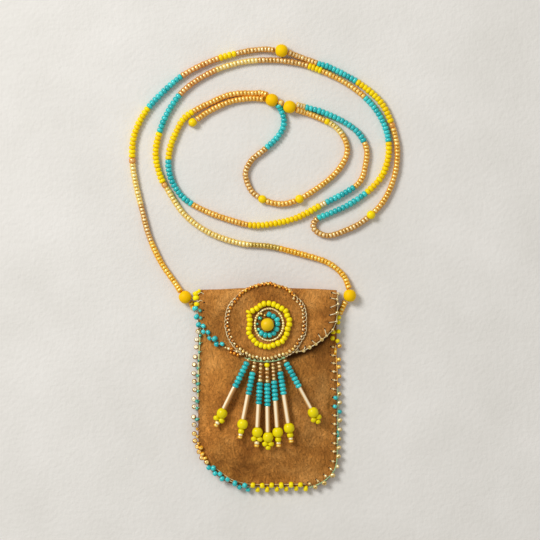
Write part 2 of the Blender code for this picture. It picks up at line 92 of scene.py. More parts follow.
# What only the looks use. Fine thread is given by its radius.
CAMERA_PLACE = (1.2 * MM, 55.4 * MM, 1.1992)
LAMP_PLACE = (-0.80, 0.70, 1.02)
LAMP_AIM = (0, 0.04, 0)
LINK_Z = 1.3 * MM
FINE_THREAD = 0.2 * MM
PATCH_STITCHES = 62
FLOOR_Z = -0.05 * MM


# Camera and light


def put_in_scene(name, data):
    """A new object in the scene, with this data."""
    made = bpy.data.objects.new(name, data)
    bpy.context.scene.collection.objects.link(made)
    return made


def add_camera():
    """Straight above the bag and its strap, far enough away that little perspective shows."""
    lens = bpy.data.cameras.new("camera")
    lens.sensor_width = 36
    lens.lens = 170
    camera = put_in_scene("camera", lens)
    camera.location = CAMERA_PLACE
    bpy.context.scene.camera = camera


def add_lamp(name, place, aim, size, power):
    lamp = bpy.data.lights.new(name, "AREA")
    lamp.shape = "DISK"
    lamp.size = size
    lamp.energy = power
    holder = put_in_scene(name, lamp)
    holder.location = place
    holder.rotation_mode = "QUATERNION"
    holder.rotation_quaternion = (Vector(aim) - Vector(place)).to_track_quat("-Z", "Y")


# Colour and material


def linear(code):
    """The linear colour of an sRGB hex value."""
    parts = [int(code[i : i + 2], 16) / 255 for i in (1, 3, 5)]
    return [p / 12.92 if p <= 0.04045 else ((p + 0.055) / 1.055) ** 2.4 for p in parts] + [1]


def add_node(tree, kind, settings=None, inputs=None):
    """Add a shader node with its own settings, and with a value, another node's output or just
    another node, for its first output, on its inputs."""
    made = tree.nodes.new("ShaderNode" + kind)
    for name, value in (settings or {}).items():
        setattr(made, name, value)
    for name, value in (inputs or {}).items():
        if isinstance(value, bpy.types.NodeSocket):
            tree.links.new(value, made.inputs[name])
        elif isinstance(value, bpy.types.Node):
            tree.links.new(value.outputs[0], made.inputs[name])
        else:
            made.inputs[name].default_value = value
    return made


def set_ramp(ramp, *stops):
    """Give a colour ramp its (place, hex colour) stops."""
    elements = ramp.color_ramp.elements
    while len(elements) < len(stops):
        elements.new(0.5)
    for element, (place, code) in zip(elements, stops):
        element.position = place
        element.color = linear(code)


def new_material(name, **sockets):
    """A material with one Principled shader, whose plain values are set here."""
    made = bpy.data.materials.new(name)
    made.use_nodes = True
    shader = made.node_tree.nodes["Principled BSDF"]
    for socket, value in sockets.items():
        shader.inputs[socket.replace("_", " ").title().replace("Ior", "IOR")].default_value = value
    return made, made.node_tree, shader


def napped_suede():
    """Split leather buffed to a nap: dull and mottled, in short strokes that lean different ways,
    with handling marks and scuffs and with painted light and shade, a few dark pores, and edges
    darker where they are sewn, partly painted shade."""
    made, tree, shader = new_material(
        "napped_suede", roughness=0.95, specular_ior_level=0.1, sheen_weight=0.15, sheen_roughness=0.5
    )
    shader.inputs["Sheen Tint"].default_value = linear("#D9924A")
    place = add_node(tree, "TexCoord").outputs["Object"]
    # broad clouds of dye, 16 mm across, broken up down to 1 mm
    clouds = add_node(tree, "TexNoise", inputs={"Vector": place, "Scale": 62, "Detail": 5, "Roughness": 0.6})
    dye = add_node(tree, "ValToRGB", inputs={"Fac": clouds.outputs["Fac"]})
    set_ramp(dye, (0.3, "#9A5F27"), (0.5, "#C4823B"), (0.7, "#E09F54"))
    # nap strokes, really 0.1 mm wide, drawn 0.9 mm wide and 2.1 mm long so that they show; a slow
    # noise bends them, so that the nap lies a different way every 8 mm
    swirl = add_node(tree, "TexNoise", inputs={"Vector": place, "Scale": 120, "Detail": 1})
    bend = {0: swirl.outputs["Color"], 1: (6 * MM, 6 * MM, 0), 2: place}
    bent = add_node(tree, "VectorMath", {"operation": "MULTIPLY_ADD"}, bend)
    lean = {"Vector": bent, "Rotation": (0, 0, math.radians(38)), "Scale": (1150, 480, 600)}
    leaning = add_node(tree, "Mapping", inputs=lean)
    drawn = {"Vector": leaning, "Scale": 1.0, "Detail": 5, "Roughness": 0.75, "Distortion": 0.9}
    strokes = add_node(tree, "TexNoise", inputs=drawn)
    lift = {"Value": strokes.outputs["Fac"], "From Min": 0.3, "From Max": 0.7, "To Min": 0.52, "To Max": 1.5}
    lie = add_node(tree, "MapRange", inputs=lift)
    # stains and rubbed places, and painted light and shade, given for each piece as an attribute
    stain_and_light = add_node(tree, "Attribute", {"attribute_name": "stain_and_light"})
    stain_and_light_scale = add_node(tree, "MapRange", inputs={"Value": stain_and_light.outputs["Fac"], "To Min": 0.5, "To Max": 1.5})
    light = add_node(tree, "Math", {"operation": "MULTIPLY"}, {0: lie, 1: stain_and_light_scale})
    napped = add_node(tree, "HueSaturation", inputs={"Value": light, "Color": dye})
    # pores, 0.5 mm across and 3 mm apart
    cells = add_node(tree, "TexVoronoi", inputs={"Vector": place, "Scale": 330})
    near = {"Value": cells, "From Min": 0.05, "From Max": 0.18, "To Min": 0.45, "To Max": 0.0}
    pore = add_node(tree, "MapRange", inputs=near)
    pored = add_node(tree, "Mix", {"data_type": "RGBA"}, {0: pore, 6: napped, 7: linear("#6E421C")})
    # darker where sewn, partly the sewn edge and partly painted shade, such as the shadow of the flap's edge on the
    # front
    edge_dark_and_shade = add_node(tree, "Attribute", {"attribute_name": "edge_dark_and_shade"})
    edge = {0: edge_dark_and_shade.outputs["Fac"], 6: pored.outputs[2], 7: linear("#4C2A0E")}
    edge_shaded = add_node(tree, "Mix", {"data_type": "RGBA"}, edge)
    tree.links.new(edge_shaded.outputs[2], shader.inputs["Base Color"])
    grain = add_node(tree, "Bump", inputs={"Height": strokes.outputs["Fac"], "Strength": 1.0, "Distance": 1.3 * MM})
    dents = {"Height": clouds.outputs["Fac"], "Strength": 1.0, "Distance": 4.5 * MM, "Normal": grain}
    soft = add_node(tree, "Bump", inputs=dents)
    tree.links.new(soft.outputs["Normal"], shader.inputs["Normal"])
    return made


def opaque_glass(name, deep, light, roughness=0.25, level=0.35):
    """Opaque glass, cut from cane and tumbled smooth: one colour all through, which varies a little
    from bead to bead, and a soft highlight."""
    made, tree, shader = new_material(name, roughness=roughness, ior=1.52, specular_ior_level=level)
    tone = add_node(tree, "Attribute", {"attribute_name": "tone"})
    cane = add_node(tree, "ValToRGB", inputs={"Fac": tone.outputs["Fac"]})
    set_ramp(cane, (0.0, deep), (1.0, light))
    tree.links.new(cane.outputs["Color"], shader.inputs["Base Color"])
    return made


def lined_glass(name, deep, glass, lining, edge=0.3, painted_light_rise=(0.68, 0.92)):
    """Clear coloured glass with a metal lining in its hole, its light and shade painted by where a face
    lies on the bead: faces that look up show the lining in the middle of the bead, a painted top light
    where the lamp shines down, and darker ends, partly thicker glass and partly painted shade where
    strung beads touch; faces on the sides show the clear glass. edge is how far along a bead the
    lining is full; the last argument is how far up a face looks where the painted top light begins
    and is full."""
    made, tree, shader = new_material(
        name, roughness=0.22, ior=1.52, specular_ior_level=0.8, metallic=0.25, specular_tint=linear("#FFE7B4")
    )
    along = add_node(tree, "Attribute", {"attribute_name": "along"})
    tone = add_node(tree, "Attribute", {"attribute_name": "tone"})
    varied = {0: tone.outputs["Fac"], 1: 0.5 - 0.5 * edge, 2: along.outputs["Fac"]}
    spread = add_node(tree, "Math", {"operation": "MULTIPLY_ADD"}, varied)
    lining_and_end_shade = add_node(tree, "ValToRGB", inputs={"Fac": spread})
    set_ramp(lining_and_end_shade, (edge, lining), (0.55 + 0.4 * edge, glass), (0.95, deep))
    # painted top light: faces that look up take the lining and end colours, faces on the sides the clear glass colour
    facing = add_node(tree, "TexCoord").outputs["Normal"]
    normal = add_node(tree, "SeparateXYZ", inputs={0: facing})
    painted_top_light = add_node(tree, "MapRange", inputs={"Value": normal.outputs["Z"], "From Min": painted_light_rise[0], "From Max": painted_light_rise[1]})
    top_light_mix = add_node(tree, "Mix", {"data_type": "RGBA"}, {0: painted_top_light, 6: linear(glass), 7: lining_and_end_shade})
    tree.links.new(top_light_mix.outputs[2], shader.inputs["Base Color"])
    return made


def satin_glass(name, dull, silky, bright):
    """Satin bugle glass: a tube with silky streaks all along it, coloured round it by where a face lies:
    dark gold down the side that hangs to the right, partly its gilding and partly painted shade away
    from the lamp, and a pale painted highlight left of its top, towards the lamp."""
    made, tree, shader = new_material(
        name, roughness=0.18, specular_ior_level=0.9, coat_weight=0.4, coat_roughness=0.06
    )
    around = add_node(tree, "Attribute", {"attribute_name": "around"}).outputs["Fac"]
    streak = add_node(tree, "TexNoise", {"noise_dimensions": "1D"}, {"W": around, "Scale": 12, "Detail": 2})
    spread = add_node(tree, "Math", {"operation": "MULTIPLY_ADD"}, {0: streak.outputs["Fac"], 1: 0.12, 2: around})
    silk_and_highlight = add_node(tree, "ValToRGB", inputs={"Fac": spread})
    # dark gold side: partly gilding, partly painted shade away from the lamp; the palest band is a painted highlight
    set_ramp(silk_and_highlight, (0.69, dull), (0.76, silky), (0.81, bright), (0.9, bright), (1.0, silky))
    tree.links.new(silk_and_highlight.outputs["Color"], shader.inputs["Base Color"])
    return made


def waxed_thread(name, code, light):
    """Waxed nylon beading thread: thin, smooth and slightly shiny, of two twisted plies."""
    made, tree, shader = new_material(name, roughness=0.4)
    place = add_node(tree, "TexCoord").outputs["Object"]
    # light and dark of the plies, 0.6 mm apart
    plies = add_node(tree, "TexNoise", inputs={"Vector": place, "Scale": 1500, "Detail": 1})
    shade = add_node(tree, "ValToRGB", inputs={"Fac": plies.outputs["Fac"]})
    set_ramp(shade, (0.35, code), (0.65, light))
    tree.links.new(shade.outputs["Color"], shader.inputs["Base Color"])
    return made


def plaster_floor():
    """Pale rough plaster: warm grey white, faintly mottled, with a fine grain."""
    made, tree, shader = new_material("plaster_floor", roughness=0.85, specular_ior_level=0.25)
    place = add_node(tree, "TexCoord").outputs["Object"]
    # trowel marks, 45 mm across, and grain, 2 mm
    mottle = add_node(tree, "TexNoise", inputs={"Vector": place, "Scale": 22, "Detail": 7, "Roughness": 0.62})
    tone = add_node(tree, "ValToRGB", inputs={"Fac": mottle.outputs["Fac"]})
    set_ramp(tone, (0.3, "#DDDAD4"), (0.7, "#E7E4DF"))
    tree.links.new(tone.outputs["Color"], shader.inputs["Base Color"])
    grain = add_node(tree, "TexNoise", inputs={"Vector": place, "Scale": 480, "Detail": 4})
    rough = add_node(tree, "Bump", inputs={"Height": grain.outputs["Fac"], "Strength": 0.5, "Distance": 0.5 * MM})
    tree.links.new(rough.outputs["Normal"], shader.inputs["Normal"])
    return made


FINISHES = {
    "suede": napped_suede(),
    "turquoise": opaque_glass("turquoise_opaque_glass", "#10AFB2", "#38CFCE", 0.22, 0.6),
    "yellow": opaque_glass("yellow_opaque_glass", "#F9D000", "#FFE200", 0.3, 0.2),
    "lemon": opaque_glass("lemon_opaque_glass", "#F6DC00", "#FFEC06", 0.25, 0.2),
    "rosette_yellow": opaque_glass("golden_satin_glass", "#EBC000", "#ECC600", 0.4, 0.25),
    "drop_yellow": opaque_glass("greenish_yellow_glass", "#E6D200", "#F0DE06", 0.25, 0.2),
    "large_yellow": opaque_glass("amber_yellow_satin_glass", "#F6C000", "#FACA00", 0.45, 0.1),
    "clear_ring": lined_glass("clear_gold_ring_glass", "#FFF4D2", "#D9AE54", "#96641C", 0.6, (-2, -1)),
    "amber_ring": lined_glass("clear_amber_ring_glass", "#FFE08C", "#E5940F", "#965404", 0.6, (-2, -1)),
    # champagne bugles: the palest colour is a painted highlight, the dark gold partly painted shade
    "champagne": satin_glass("champagne_satin_glass", "#A2691F", "#D8A152", "#FFEDC8"),
    # needle holes: a dark spot on the surface, painted shade of the hole
    "needle_hole_shade": new_material("needle_hole_painted_shade", base_color=linear("#24130A"), roughness=1.0)[0],
}
# Lined glass: colour at the ends, darkened there as painted shade where beads touch, of the glass,
# and of the lining, which shows as the painted top light
for kind, *colours in (
    ("teal", "#0E7A70", "#2FAF9E", "#8FD8C4"),
    ("gold", "#94640E", "#F4B440", "#FFE294"),
    ("fringe_gold", "#6E4412", "#CE9A52", "#FFF0C6", 0.2),
    ("brown_gold", "#74500E", "#DEA54E", "#FFE9B6"),
    ("rose_gold", "#8A520C", "#E8A24A", "#FFE0A2"),
    ("amber", "#A86C06", "#FFBC22", "#FFEC90"),
    ("orange", "#7E3E06", "#D4760C", "#F9AC34"),
    ("pale_gold", "#8E7216", "#FFDC74", "#FFF6C4"),
    ("olive_gold", "#66560E", "#D0AC46", "#F4E290"),
    ("clear_gold", "#9A762A", "#F0D080", "#FFF6D2"),
):
    FINISHES[kind] = lined_glass(f"{kind}_lined_glass", *colours)
# Thread: dark and light of its plies
for kind, dark, light in (
    ("cream_thread", "#D2B878", "#F8EBC2"),
    ("green_thread", "#7FAE78", "#B4CF9A"),
    ("lime_thread", "#B9B86A", "#E4DFA4"),
    ("amber_thread", "#C47A1C", "#F5C45E"),
    ("rim_thread", "#B48642", "#F4E2B2"),
):
    FINISHES[kind] = waxed_thread(kind, dark, light)

CHANCE = random.Random(7)


# Beads

TEMPLATES = {}
BEAD_LAYERS = ("along", "around", "tone")
# How beads are drawn: the hole as a share of the radius, faces round and faces along, and for
# some also how far askew they sit and how square their section is
SMALL = (0.3, 12, 6)
MIDDLE = (0.3, 16, 8)
PRESSED = (0.14, 32, 20, 0, 2.1)
RING = (0.16, 16, 10, 0, 2)
BUGLE = (0.5, 24, 12, 0, 14)
BAR = (0.3, 12, 8, 0, 8)
DROP = (0.13, 28, 16, 0, 2.15)


def solid(name, bm, *materials):
    """An object of what bm holds, in these materials."""
    mesh = bpy.data.meshes.new(name)
    bm.to_mesh(mesh)
    bm.free()
    for material in materials:
        mesh.materials.append(material)
    return put_in_scene(name, mesh)


def settle(made, body, slot, *nodes):
    """Put a piece on its body and hide the solids that it stands for. Its slot is not used."""
    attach(made, body)
    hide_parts(*nodes)
    return made


def turn_section(bm, section, closed, steps, near):
    """Turn a section, places as (reach, height), round the Z axis."""
    verts = [bm.verts.new((reach, 0, height)) for reach, height in section]
    edges = [bm.edges.new(pair) for pair in zip(verts, verts[1:])]
    if closed:
        edges.append(bm.edges.new((verts[-1], verts[0])))
    bmesh.ops.spin(
        bm, geom=verts + edges, cent=(0, 0, 0), axis=(0, 0, 1), angle=2 * math.pi, steps=steps, use_merge=True
    )
    bmesh.ops.remove_doubles(bm, verts=bm.verts, dist=near)
    bmesh.ops.recalc_face_normals(bm, faces=bm.faces)
    for face in bm.faces:
        face.smooth = True


def bead_template(radius, length, hole, around, down, square):
    """One bead standing on +Z, turned from half its section: an oval when square is 2, with
    straighter sides and flatter ends as it grows. Each point keeps how far it is from the middle
    of the bead, 0, to its ends, 1, and how far round."""
    key = (round(radius, 7), round(length, 7), round(hole, 7), around, down, square)
    if key in TEMPLATES:
        return TEMPLATES[key]
    bm = bmesh.new()
    along, turned, _ = (bm.verts.layers.float.new(layer) for layer in BEAD_LAYERS)
    section = []
    for i in range(down + 1):
        turn = math.pi * i / down
        out = hole + (radius - hole) * abs(math.sin(turn)) ** (2 / square)
        rise = math.copysign(abs(math.cos(turn)) ** (2 / square), -math.cos(turn))
        section.append((out, length / 2 * rise))
    turn_section(bm, section, hole > 0, around, 1e-7)
    for vertex in bm.verts:
        vertex[along] = abs(vertex.co.z) / (length / 2)
        vertex[turned] = 0.5 + math.atan2(vertex.co.y, vertex.co.x) / (2 * math.pi)
    mesh = bpy.data.meshes.new("bead_template")
    bm.to_mesh(mesh)
    bm.free()
    TEMPLATES[key] = mesh
    return mesh


class Beads:
    """Beads gathered into one piece, each with a finish of its own."""

    def __init__(self, name):
        self.name = name
        self.bm = bmesh.new()
        for layer in BEAD_LAYERS:
            self.bm.verts.layers.float.new(layer)
        self.finishes = []

    def add(self, centre, axis, finish, radius, length, hole=0.3, around=16, down=8, loose=0.04, square=2.5):
        """Put a bead at centre with its hole along axis. Hand-strung beads sit a little askew."""
        if finish not in self.finishes:
            self.finishes.append(finish)
        first, first_face = len(self.bm.verts), len(self.bm.faces)
        self.bm.from_mesh(bead_template(radius, length, radius * hole, around, down, square))
        self.bm.verts.ensure_lookup_table()
        self.bm.faces.ensure_lookup_table()
        new = self.bm.verts[first:]
        tone = self.bm.verts.layers.float["tone"]
        value = CHANCE.random()
        for vertex in new:
            vertex[tone] = value
        for face in self.bm.faces[first_face:]:
            face.material_index = self.finishes.index(finish)
        askew = Vector([CHANCE.uniform(-loose, loose) for _ in range(3)])
        way = (Vector(axis).normalized() + askew).normalized()
        size = 1 + CHANCE.uniform(-loose, loose)
        turn = Vector((0, 0, 1)).rotation_difference(way).to_matrix().to_4x4()
        place = Matrix.Translation(centre) @ turn @ Matrix.Diagonal((size, size, 1, 1))
        bmesh.ops.transform(self.bm, verts=new, matrix=place)

    def done(self):
        """Make the object."""
        return solid(self.name, self.bm, *(FINISHES[finish] for finish in self.finishes))


def thread(name, body, lines, radius, finish):
    """Lengths of thread as one piece on a body, each a tube through its points."""
    curve = bpy.data.curves.new(name, "CURVE")
    curve.dimensions = "3D"
    curve.bevel_depth = radius
    curve.bevel_resolution = 1
    curve.use_fill_caps = True
    for line in lines:
        spline = curve.splines.new("POLY")
        spline.points.add(len(line) - 1)
        for knot, point in zip(spline.points, line):
            knot.co = (*point, 1)
        spline.use_smooth = True
    curve.materials.append(FINISHES[finish])
    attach(put_in_scene(name, curve), body)


def spot(x, y, z=0.0):
    """A place, with x and y in millimetres and z in metres."""
    return Vector((x * MM, y * MM, z))


def smooth(points, step):
    """Points about every step along a smooth curve through the given ones."""
    ends = [2 * points[0] - points[1], *points, 2 * points[-1] - points[-2]]
    made = [points[0]]
    for a, b, c, d in zip(ends, ends[1:], ends[2:], ends[3:]):
        steps = math.ceil((c - b).length / step)
        for i in range(1, steps + 1):
            t = i / steps
            bend = (3 * b - a - 3 * c + d) * t**3 + (2 * a - 5 * b + 4 * c - d) * t**2
            made.append((bend + (c - a) * t + 2 * b) / 2)
    return made


def walk(points):
    """How far along the line each of its points lies."""
    reached = [0.0]
    for a, b in zip(points, points[1:]):
        reached.append(reached[-1] + (b - a).length)
    return reached


def at(points, reached, distance):
    """The point at a distance along a line, and the line's direction there."""
    for i in range(1, len(points)):
        if reached[i] >= distance or i == len(points) - 1:
            a, b = points[i - 1], points[i]
            share = (distance - reached[i - 1]) / max(reached[i] - reached[i - 1], 1e-9)
            return a.lerp(b, share), (b - a).normalized()


# Strap and second strand, with their routes close to those in the part's source

STRAP_LEFT_BEAD = spot(-38.6, 42.7, LARGE_BEAD_Z)
STRAP_RIGHT_BEAD = spot(38.6, 43.4, LARGE_BEAD_Z)
STRAP_TOP_BEAD = spot(6.6, 158.3, LARGE_BEAD_Z)
STRAND_BEAD_1 = spot(2.1, 135.1, LARGE_BEAD_Z)
STRAND_BEAD_2 = spot(10.4, 131.9, LARGE_BEAD_Z)
STRAND_END_BEAD = spot(-35.1, 124.7, 2.05 * MM)

STRAP_LEFT_ROUTE = (
    (-43.5, 49.5), (-50, 59), (-55.5, 71), (-59, 84), (-62.2, 97.5), (-63.5, 108.5), (-62.4, 119.2), (-57.3, 129.7),
    (-49.5, 138.5), (-39.5, 147), (-26.5, 153.5), (-13, 157.5), (-2.5, 159),
)
STRAP_RIGHT_ROUTE = (
    (15.3, 155.4), (24.6, 152.1), (30, 150.3), (42.5, 143.5), (53, 134.5), (58.5, 123.5), (61, 111.5), (59.5, 99),
    (54, 87), (44.5, 78), (35.5, 73.5), (28.5, 71.5), (23, 73.5), (21.5, 76.5), (23.5, 79.5), (29.5, 82), (39, 86.5),
    (48.5, 93.5), (54.5, 101), (57, 111), (55.5, 122), (49.5, 132.5), (39.5, 141.5), (26.5, 148.5), (14.5, 152.5),
    (2, 154), (-12, 153), (-26, 148.5), (-38.5, 140.5), (-46.5, 130), (-51, 119), (-52.5, 109.5), (-50.5, 100),
    (-46.5, 92.5), (-39, 81.5), (-27.5, 73), (-13, 68), (1, 66.5), (15.5, 63), (28, 59), (35.5, 53),
)
STRAND_LARGE_LOOP_ROUTE = (
    (-3.2, 138.6), (-6.8, 138.4), (-13, 138.4), (-19.5, 137.2), (-26, 134.3), (-32, 131.5), (-38.8, 127), (-42.5, 121),
    (-45.5, 113.5), (-46.5, 107), (-46, 101), (-43.5, 94.5), (-38.5, 88.5), (-30, 83.5), (-19.5, 79.5), (-8, 76.5),
    (2, 77), (14, 80), (25.5, 86), (37, 92), (43.5, 97), (46, 104.5), (46.5, 112.5), (42.5, 120), (35, 125.5),
    (25, 129.9), (18.5, 131.7),
)
STRAND_SMALL_LOOP_ROUTE = (
    (6.2, 130.8), (7.4, 127.8), (7.8, 124.5), (6.9, 121.1), (5.2, 118.5), (3, 115.9), (-2, 111.5), (-7, 107.5),
    (-10, 102.5), (-10, 98), (-7.5, 92.5), (-3, 89), (2, 87), (8, 86.5), (14.5, 88.5), (21.5, 92.5), (29, 98),
    (34.5, 104), (37.5, 111), (36, 117.5), (31.5, 123), (25, 126.5), (19, 128.9),
)
STRAND_TAIL_ROUTE = ((-29, 129), (-22.5, 132.5), (-15.5, 135), (-8, 136), (-2.6, 135.7))

# Where each stretch of one colour ends, in millimetres along its run. "round" is one 4 mm bead,
# "stop" one gold bead that is a little larger, "small" one small yellow bead.
STRAP_LEFT_COLOURS = (
    (28, "amber"), (46, "brown_gold"), (65.8, "pale_gold"), (68.4, "stop"), (93.9, "yellow"), (115.7, "turquoise"),
    (135.1, "rose_gold"), (143.6, "yellow"), (162.1, "brown_gold"),
)
STRAP_RIGHT_COLOURS = (
    (14.7, "brown_gold"), (35.2, "turquoise"), (61.1, "yellow"), (63.7, "stop"), (106.3, "gold"), (110.3, "round"),
    (144.3, "brown_gold"), (170.3, "turquoise"), (197.7, "yellow"), (222.1, "turquoise"), (245.8, "gold"),
    (252.7, "yellow"), (276.5, "brown_gold"), (296.9, "pale_gold"), (317.6, "rose_gold"), (338, "turquoise"),
    (362.4, "yellow"), (365, "stop"), (414.6, "pale_gold"), (429, "olive_gold"), (469.1, "amber"),
)
LARGE_LOOP_COLOURS = (
    (37.8, "gold"), (64.7, "yellow"), (90.2, "turquoise"), (118.6, "gold"), (155, "yellow"), (158, "clear_gold"),
    (173.7, "turquoise"), (196.8, "gold"), (230.9, "turquoise"), (235.4, "clear_gold"),
)
SMALL_LOOP_COLOURS = (
    (24.9, "turquoise"), (54.4, "brown_gold"), (58.4, "round"), (72.7, "gold"), (76.7, "round"), (116.4, "gold"),
    (124.6, "pale_gold"), (127, "small"), (141.8, "gold"),
)
TAIL_COLOURS = ((34.8, "gold"),)
CROSS_COLOURS = ((2.3, "gold"),)

# Each kind of strung bead: outer radius and length along the thread in millimetres, how much of
# its share of the thread it fills, faces round it, faces along it, and how square its section is.
# Kinds that aren't named here are made as "gold" is.
STRUNG = {
    "turquoise": (1.52, 1.95, 1.02, 12, 5, 3.4),
    "yellow": (1.62, 1.95, 1.02, 12, 5, 3.4),
    "stop": (1.6, 2.4, 1.02, 12, 5, 3.4),
    "small": (1.5, 2.4, 1.02, 12, 5, 3.4),
    "round": (2.0, 4.0, 1.02, 20, 10, 2.1),
    "gold": (1.4, 1.68, 1.05, 10, 6, 6),
}
# What the kinds that aren't named after a finish are made of
STRUNG_FINISH = {"round": "yellow", "stop": "rose_gold", "small": "yellow"}


def beside_bead(centre, radius, degrees):
    """Where a strand meets a bead, at an angle round the bead."""
    turn = math.radians(degrees)
    return centre + (radius + GAP) * Vector((math.cos(turn), math.sin(turn), 0))


def strand_line(start, route, end):
    """The middle line of a strand between two beads, a point every millimetre."""
    places = [spot(x, y, STRAND_Z) for x, y in route]
    line = smooth([beside_bead(*start), *places, beside_bead(*end)], 1 * MM)
    for point in line:
        point.z = max(point.z, STRAND_Z)
    return line


def string(beads, line, colours):
    """String beads along a line, a colour stretch at a time."""
    reached = walk(line)
    scale = reached[-1] / (colours[-1][0] * MM)
    begun = 0.0
    for end, kind in colours:
        end = end * MM * scale
        radius, length, fill, around, down, square = STRUNG.get(kind, STRUNG["gold"])
        count = max(1, round((end - begun) / (length * MM)))
        pitch = (end - begun) / count
        for i in range(count):
            centre, way = at(line, reached, begun + (i + 0.5) * pitch)
            if kind == "round":
                centre.z = radius * MM + 0.05 * MM
            finish = STRUNG_FINISH.get(kind, kind)
            beads.add(centre, way, finish, radius * MM, pitch * fill, 0, around, down, 0.06, square)
        begun = end


def pressed_bead(name, node, slot, *beads):
    """A large pressed bead, with the small one that stops it if it has one, as a piece."""
    made = Beads(name)
    for bead in beads:
        made.add(*bead)
    return settle(made.done(), "pouch", slot, node)


def build_strap():
    """The shoulder strap: both runs through the bead at its top and the short links to the pouch's
    upper corners as one strand, and its three 6 mm beads."""
    left_line = strand_line((STRAP_LEFT_BEAD, LARGE_BEAD, 130), STRAP_LEFT_ROUTE, (STRAP_TOP_BEAD, LARGE_BEAD, 175))
    right_line = strand_line(
        (STRAP_TOP_BEAD, LARGE_BEAD, -14), STRAP_RIGHT_ROUTE, (STRAP_RIGHT_BEAD, LARGE_BEAD, 95)
    )
    left_link = [STRAP_LEFT_BEAD, spot(-36.1, 40.5, LINK_Z), spot(-34.4, 36.9, LINK_Z)]
    right_link = [STRAP_RIGHT_BEAD, spot(36.7, 40.7, LINK_Z), spot(33.8, 34.6, LINK_Z)]
    beads = Beads("strap_strand")
    string(beads, left_line, STRAP_LEFT_COLOURS)
    string(beads, right_line, STRAP_RIGHT_COLOURS)
    string(beads, left_link[1:], ((4, "amber"),))
    string(beads, right_link[1:], ((6.8, "amber"),))
    strap = beads.done()
    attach(strap, "pouch")
    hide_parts("strap_left_run", "strap_right_run", "strap_link_left", "strap_link_right")
    large = [
        pressed_bead(
            f"strap_{side}_large_bead", f"strap_bead_{side}", "amber_glass",
            (centre, axis, "large_yellow", LARGE_BEAD, 5.8 * MM, *PRESSED),
        )
        for side, centre, axis in (
            ("left", STRAP_LEFT_BEAD, (-0.7, 0.75, 0)),
            ("right", STRAP_RIGHT_BEAD, (0.1, 1, 0)),
            ("top", STRAP_TOP_BEAD, (1, -0.1, 0)),
        )
    ]


def build_second_strand():
    """The second strand: from its 4 mm end bead through the first large bead, round the small
    loop, back through both large beads and round the large loop."""
    one, two, tip = STRAND_BEAD_1, STRAND_BEAD_2, STRAND_END_BEAD
    tail = strand_line((tip, END_BEAD, 35), STRAND_TAIL_ROUTE, (one, LARGE_BEAD, 168))
    small = strand_line((one, LARGE_BEAD, -35), STRAND_SMALL_LOOP_ROUTE, (two, LARGE_BEAD, -24))
    cross = strand_line((two, LARGE_BEAD, 154), (), (one, LARGE_BEAD, -13))
    large = strand_line((one, LARGE_BEAD, 130), STRAND_LARGE_LOOP_ROUTE, (two, LARGE_BEAD, 19))
    beads = Beads("second_strand")
    string(beads, tail, TAIL_COLOURS)
    string(beads, small, SMALL_LOOP_COLOURS)
    string(beads, cross, CROSS_COLOURS)
    string(beads, large, LARGE_LOOP_COLOURS)
    strand = beads.done()
    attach(strand, "pouch")
    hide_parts("strand_tail", "strand_small_loop", "strand_cross_link", "strand_large_loop")
    pieces = [
        pressed_bead(
            f"strand_large_bead_{number}", f"strand_bead_{number}", "amber_glass",
            (centre, axis, "large_yellow", LARGE_BEAD, LARGE_BEAD * 1.94, *PRESSED),
        )
        for number, centre, axis in ((1, one, (1, -0.25, 0)), (2, two, (1, -0.3, 0)))
    ]
    pieces.append(
        pressed_bead(
            "strand_tip_bead", "strand_end_bead", "yellow_glass",
            (tip, (0.8, 0.6, 0), "yellow", END_BEAD, END_BEAD * 1.94, *PRESSED),
            (spot(-36.2, 123.6, 1.0 * MM), (0.2, 1, 0), "gold", 0.9 * MM, 1.2 * MM),
        )
    )


# Suede


def side_limits(y):
    """The pouch's left and right edge at a height y."""
    limits = []
    for corner in (LEFT_CORNER, RIGHT_CORNER):
        drop = max(BOTTOM + corner - y, 0)
        limits.append(HALF_WIDTH - corner + math.sqrt(max(corner**2 - drop**2, 0)))
    return -limits[0], limits[1]


def hump(x, y, at_x, at_y, wide, tall, lean=0.0):
    """A soft rise of height 1 at a place in millimetres, wide and tall in millimetres, leaning."""
    dx = x / MM - at_x
    dy = y / MM - at_y
    turned = dx * math.cos(lean) + dy * math.sin(lean)
    other = dy * math.cos(lean) - dx * math.sin(lean)
    return math.exp(-((turned / wide) ** 2) - (other / tall) ** 2)


def outside(x, y):
    """How far a place lies outside the pouch's outline; less than 0 on the pouch."""
    corner = LEFT_CORNER if x < 0 else RIGHT_CORNER
    over, under = abs(x) - (HALF_WIDTH - corner), BOTTOM + corner - y
    if over > 0 and under > 0:
        return math.hypot(over, under) - corner
    return max(abs(x) - HALF_WIDTH, BOTTOM - y)


def front_height(x, y):
    """The height of the front panel's outer face without its folds."""
    left, right = side_limits(max(y, BOTTOM))
    middle, half = (left + right) / 2, max((right - left) / 2 - SEAM_WIDTH, 1 * MM)
    down = min(max((MOUTH_Y - y) / (MOUTH_Y - BOTTOM - SEAM_WIDTH), 0), 1)
    across = max(0.0, 1 - abs((x - middle) / half) ** 4)
    return SEAM_TOP + DOME_RISE * across * max(0.0, 1 - down**5)


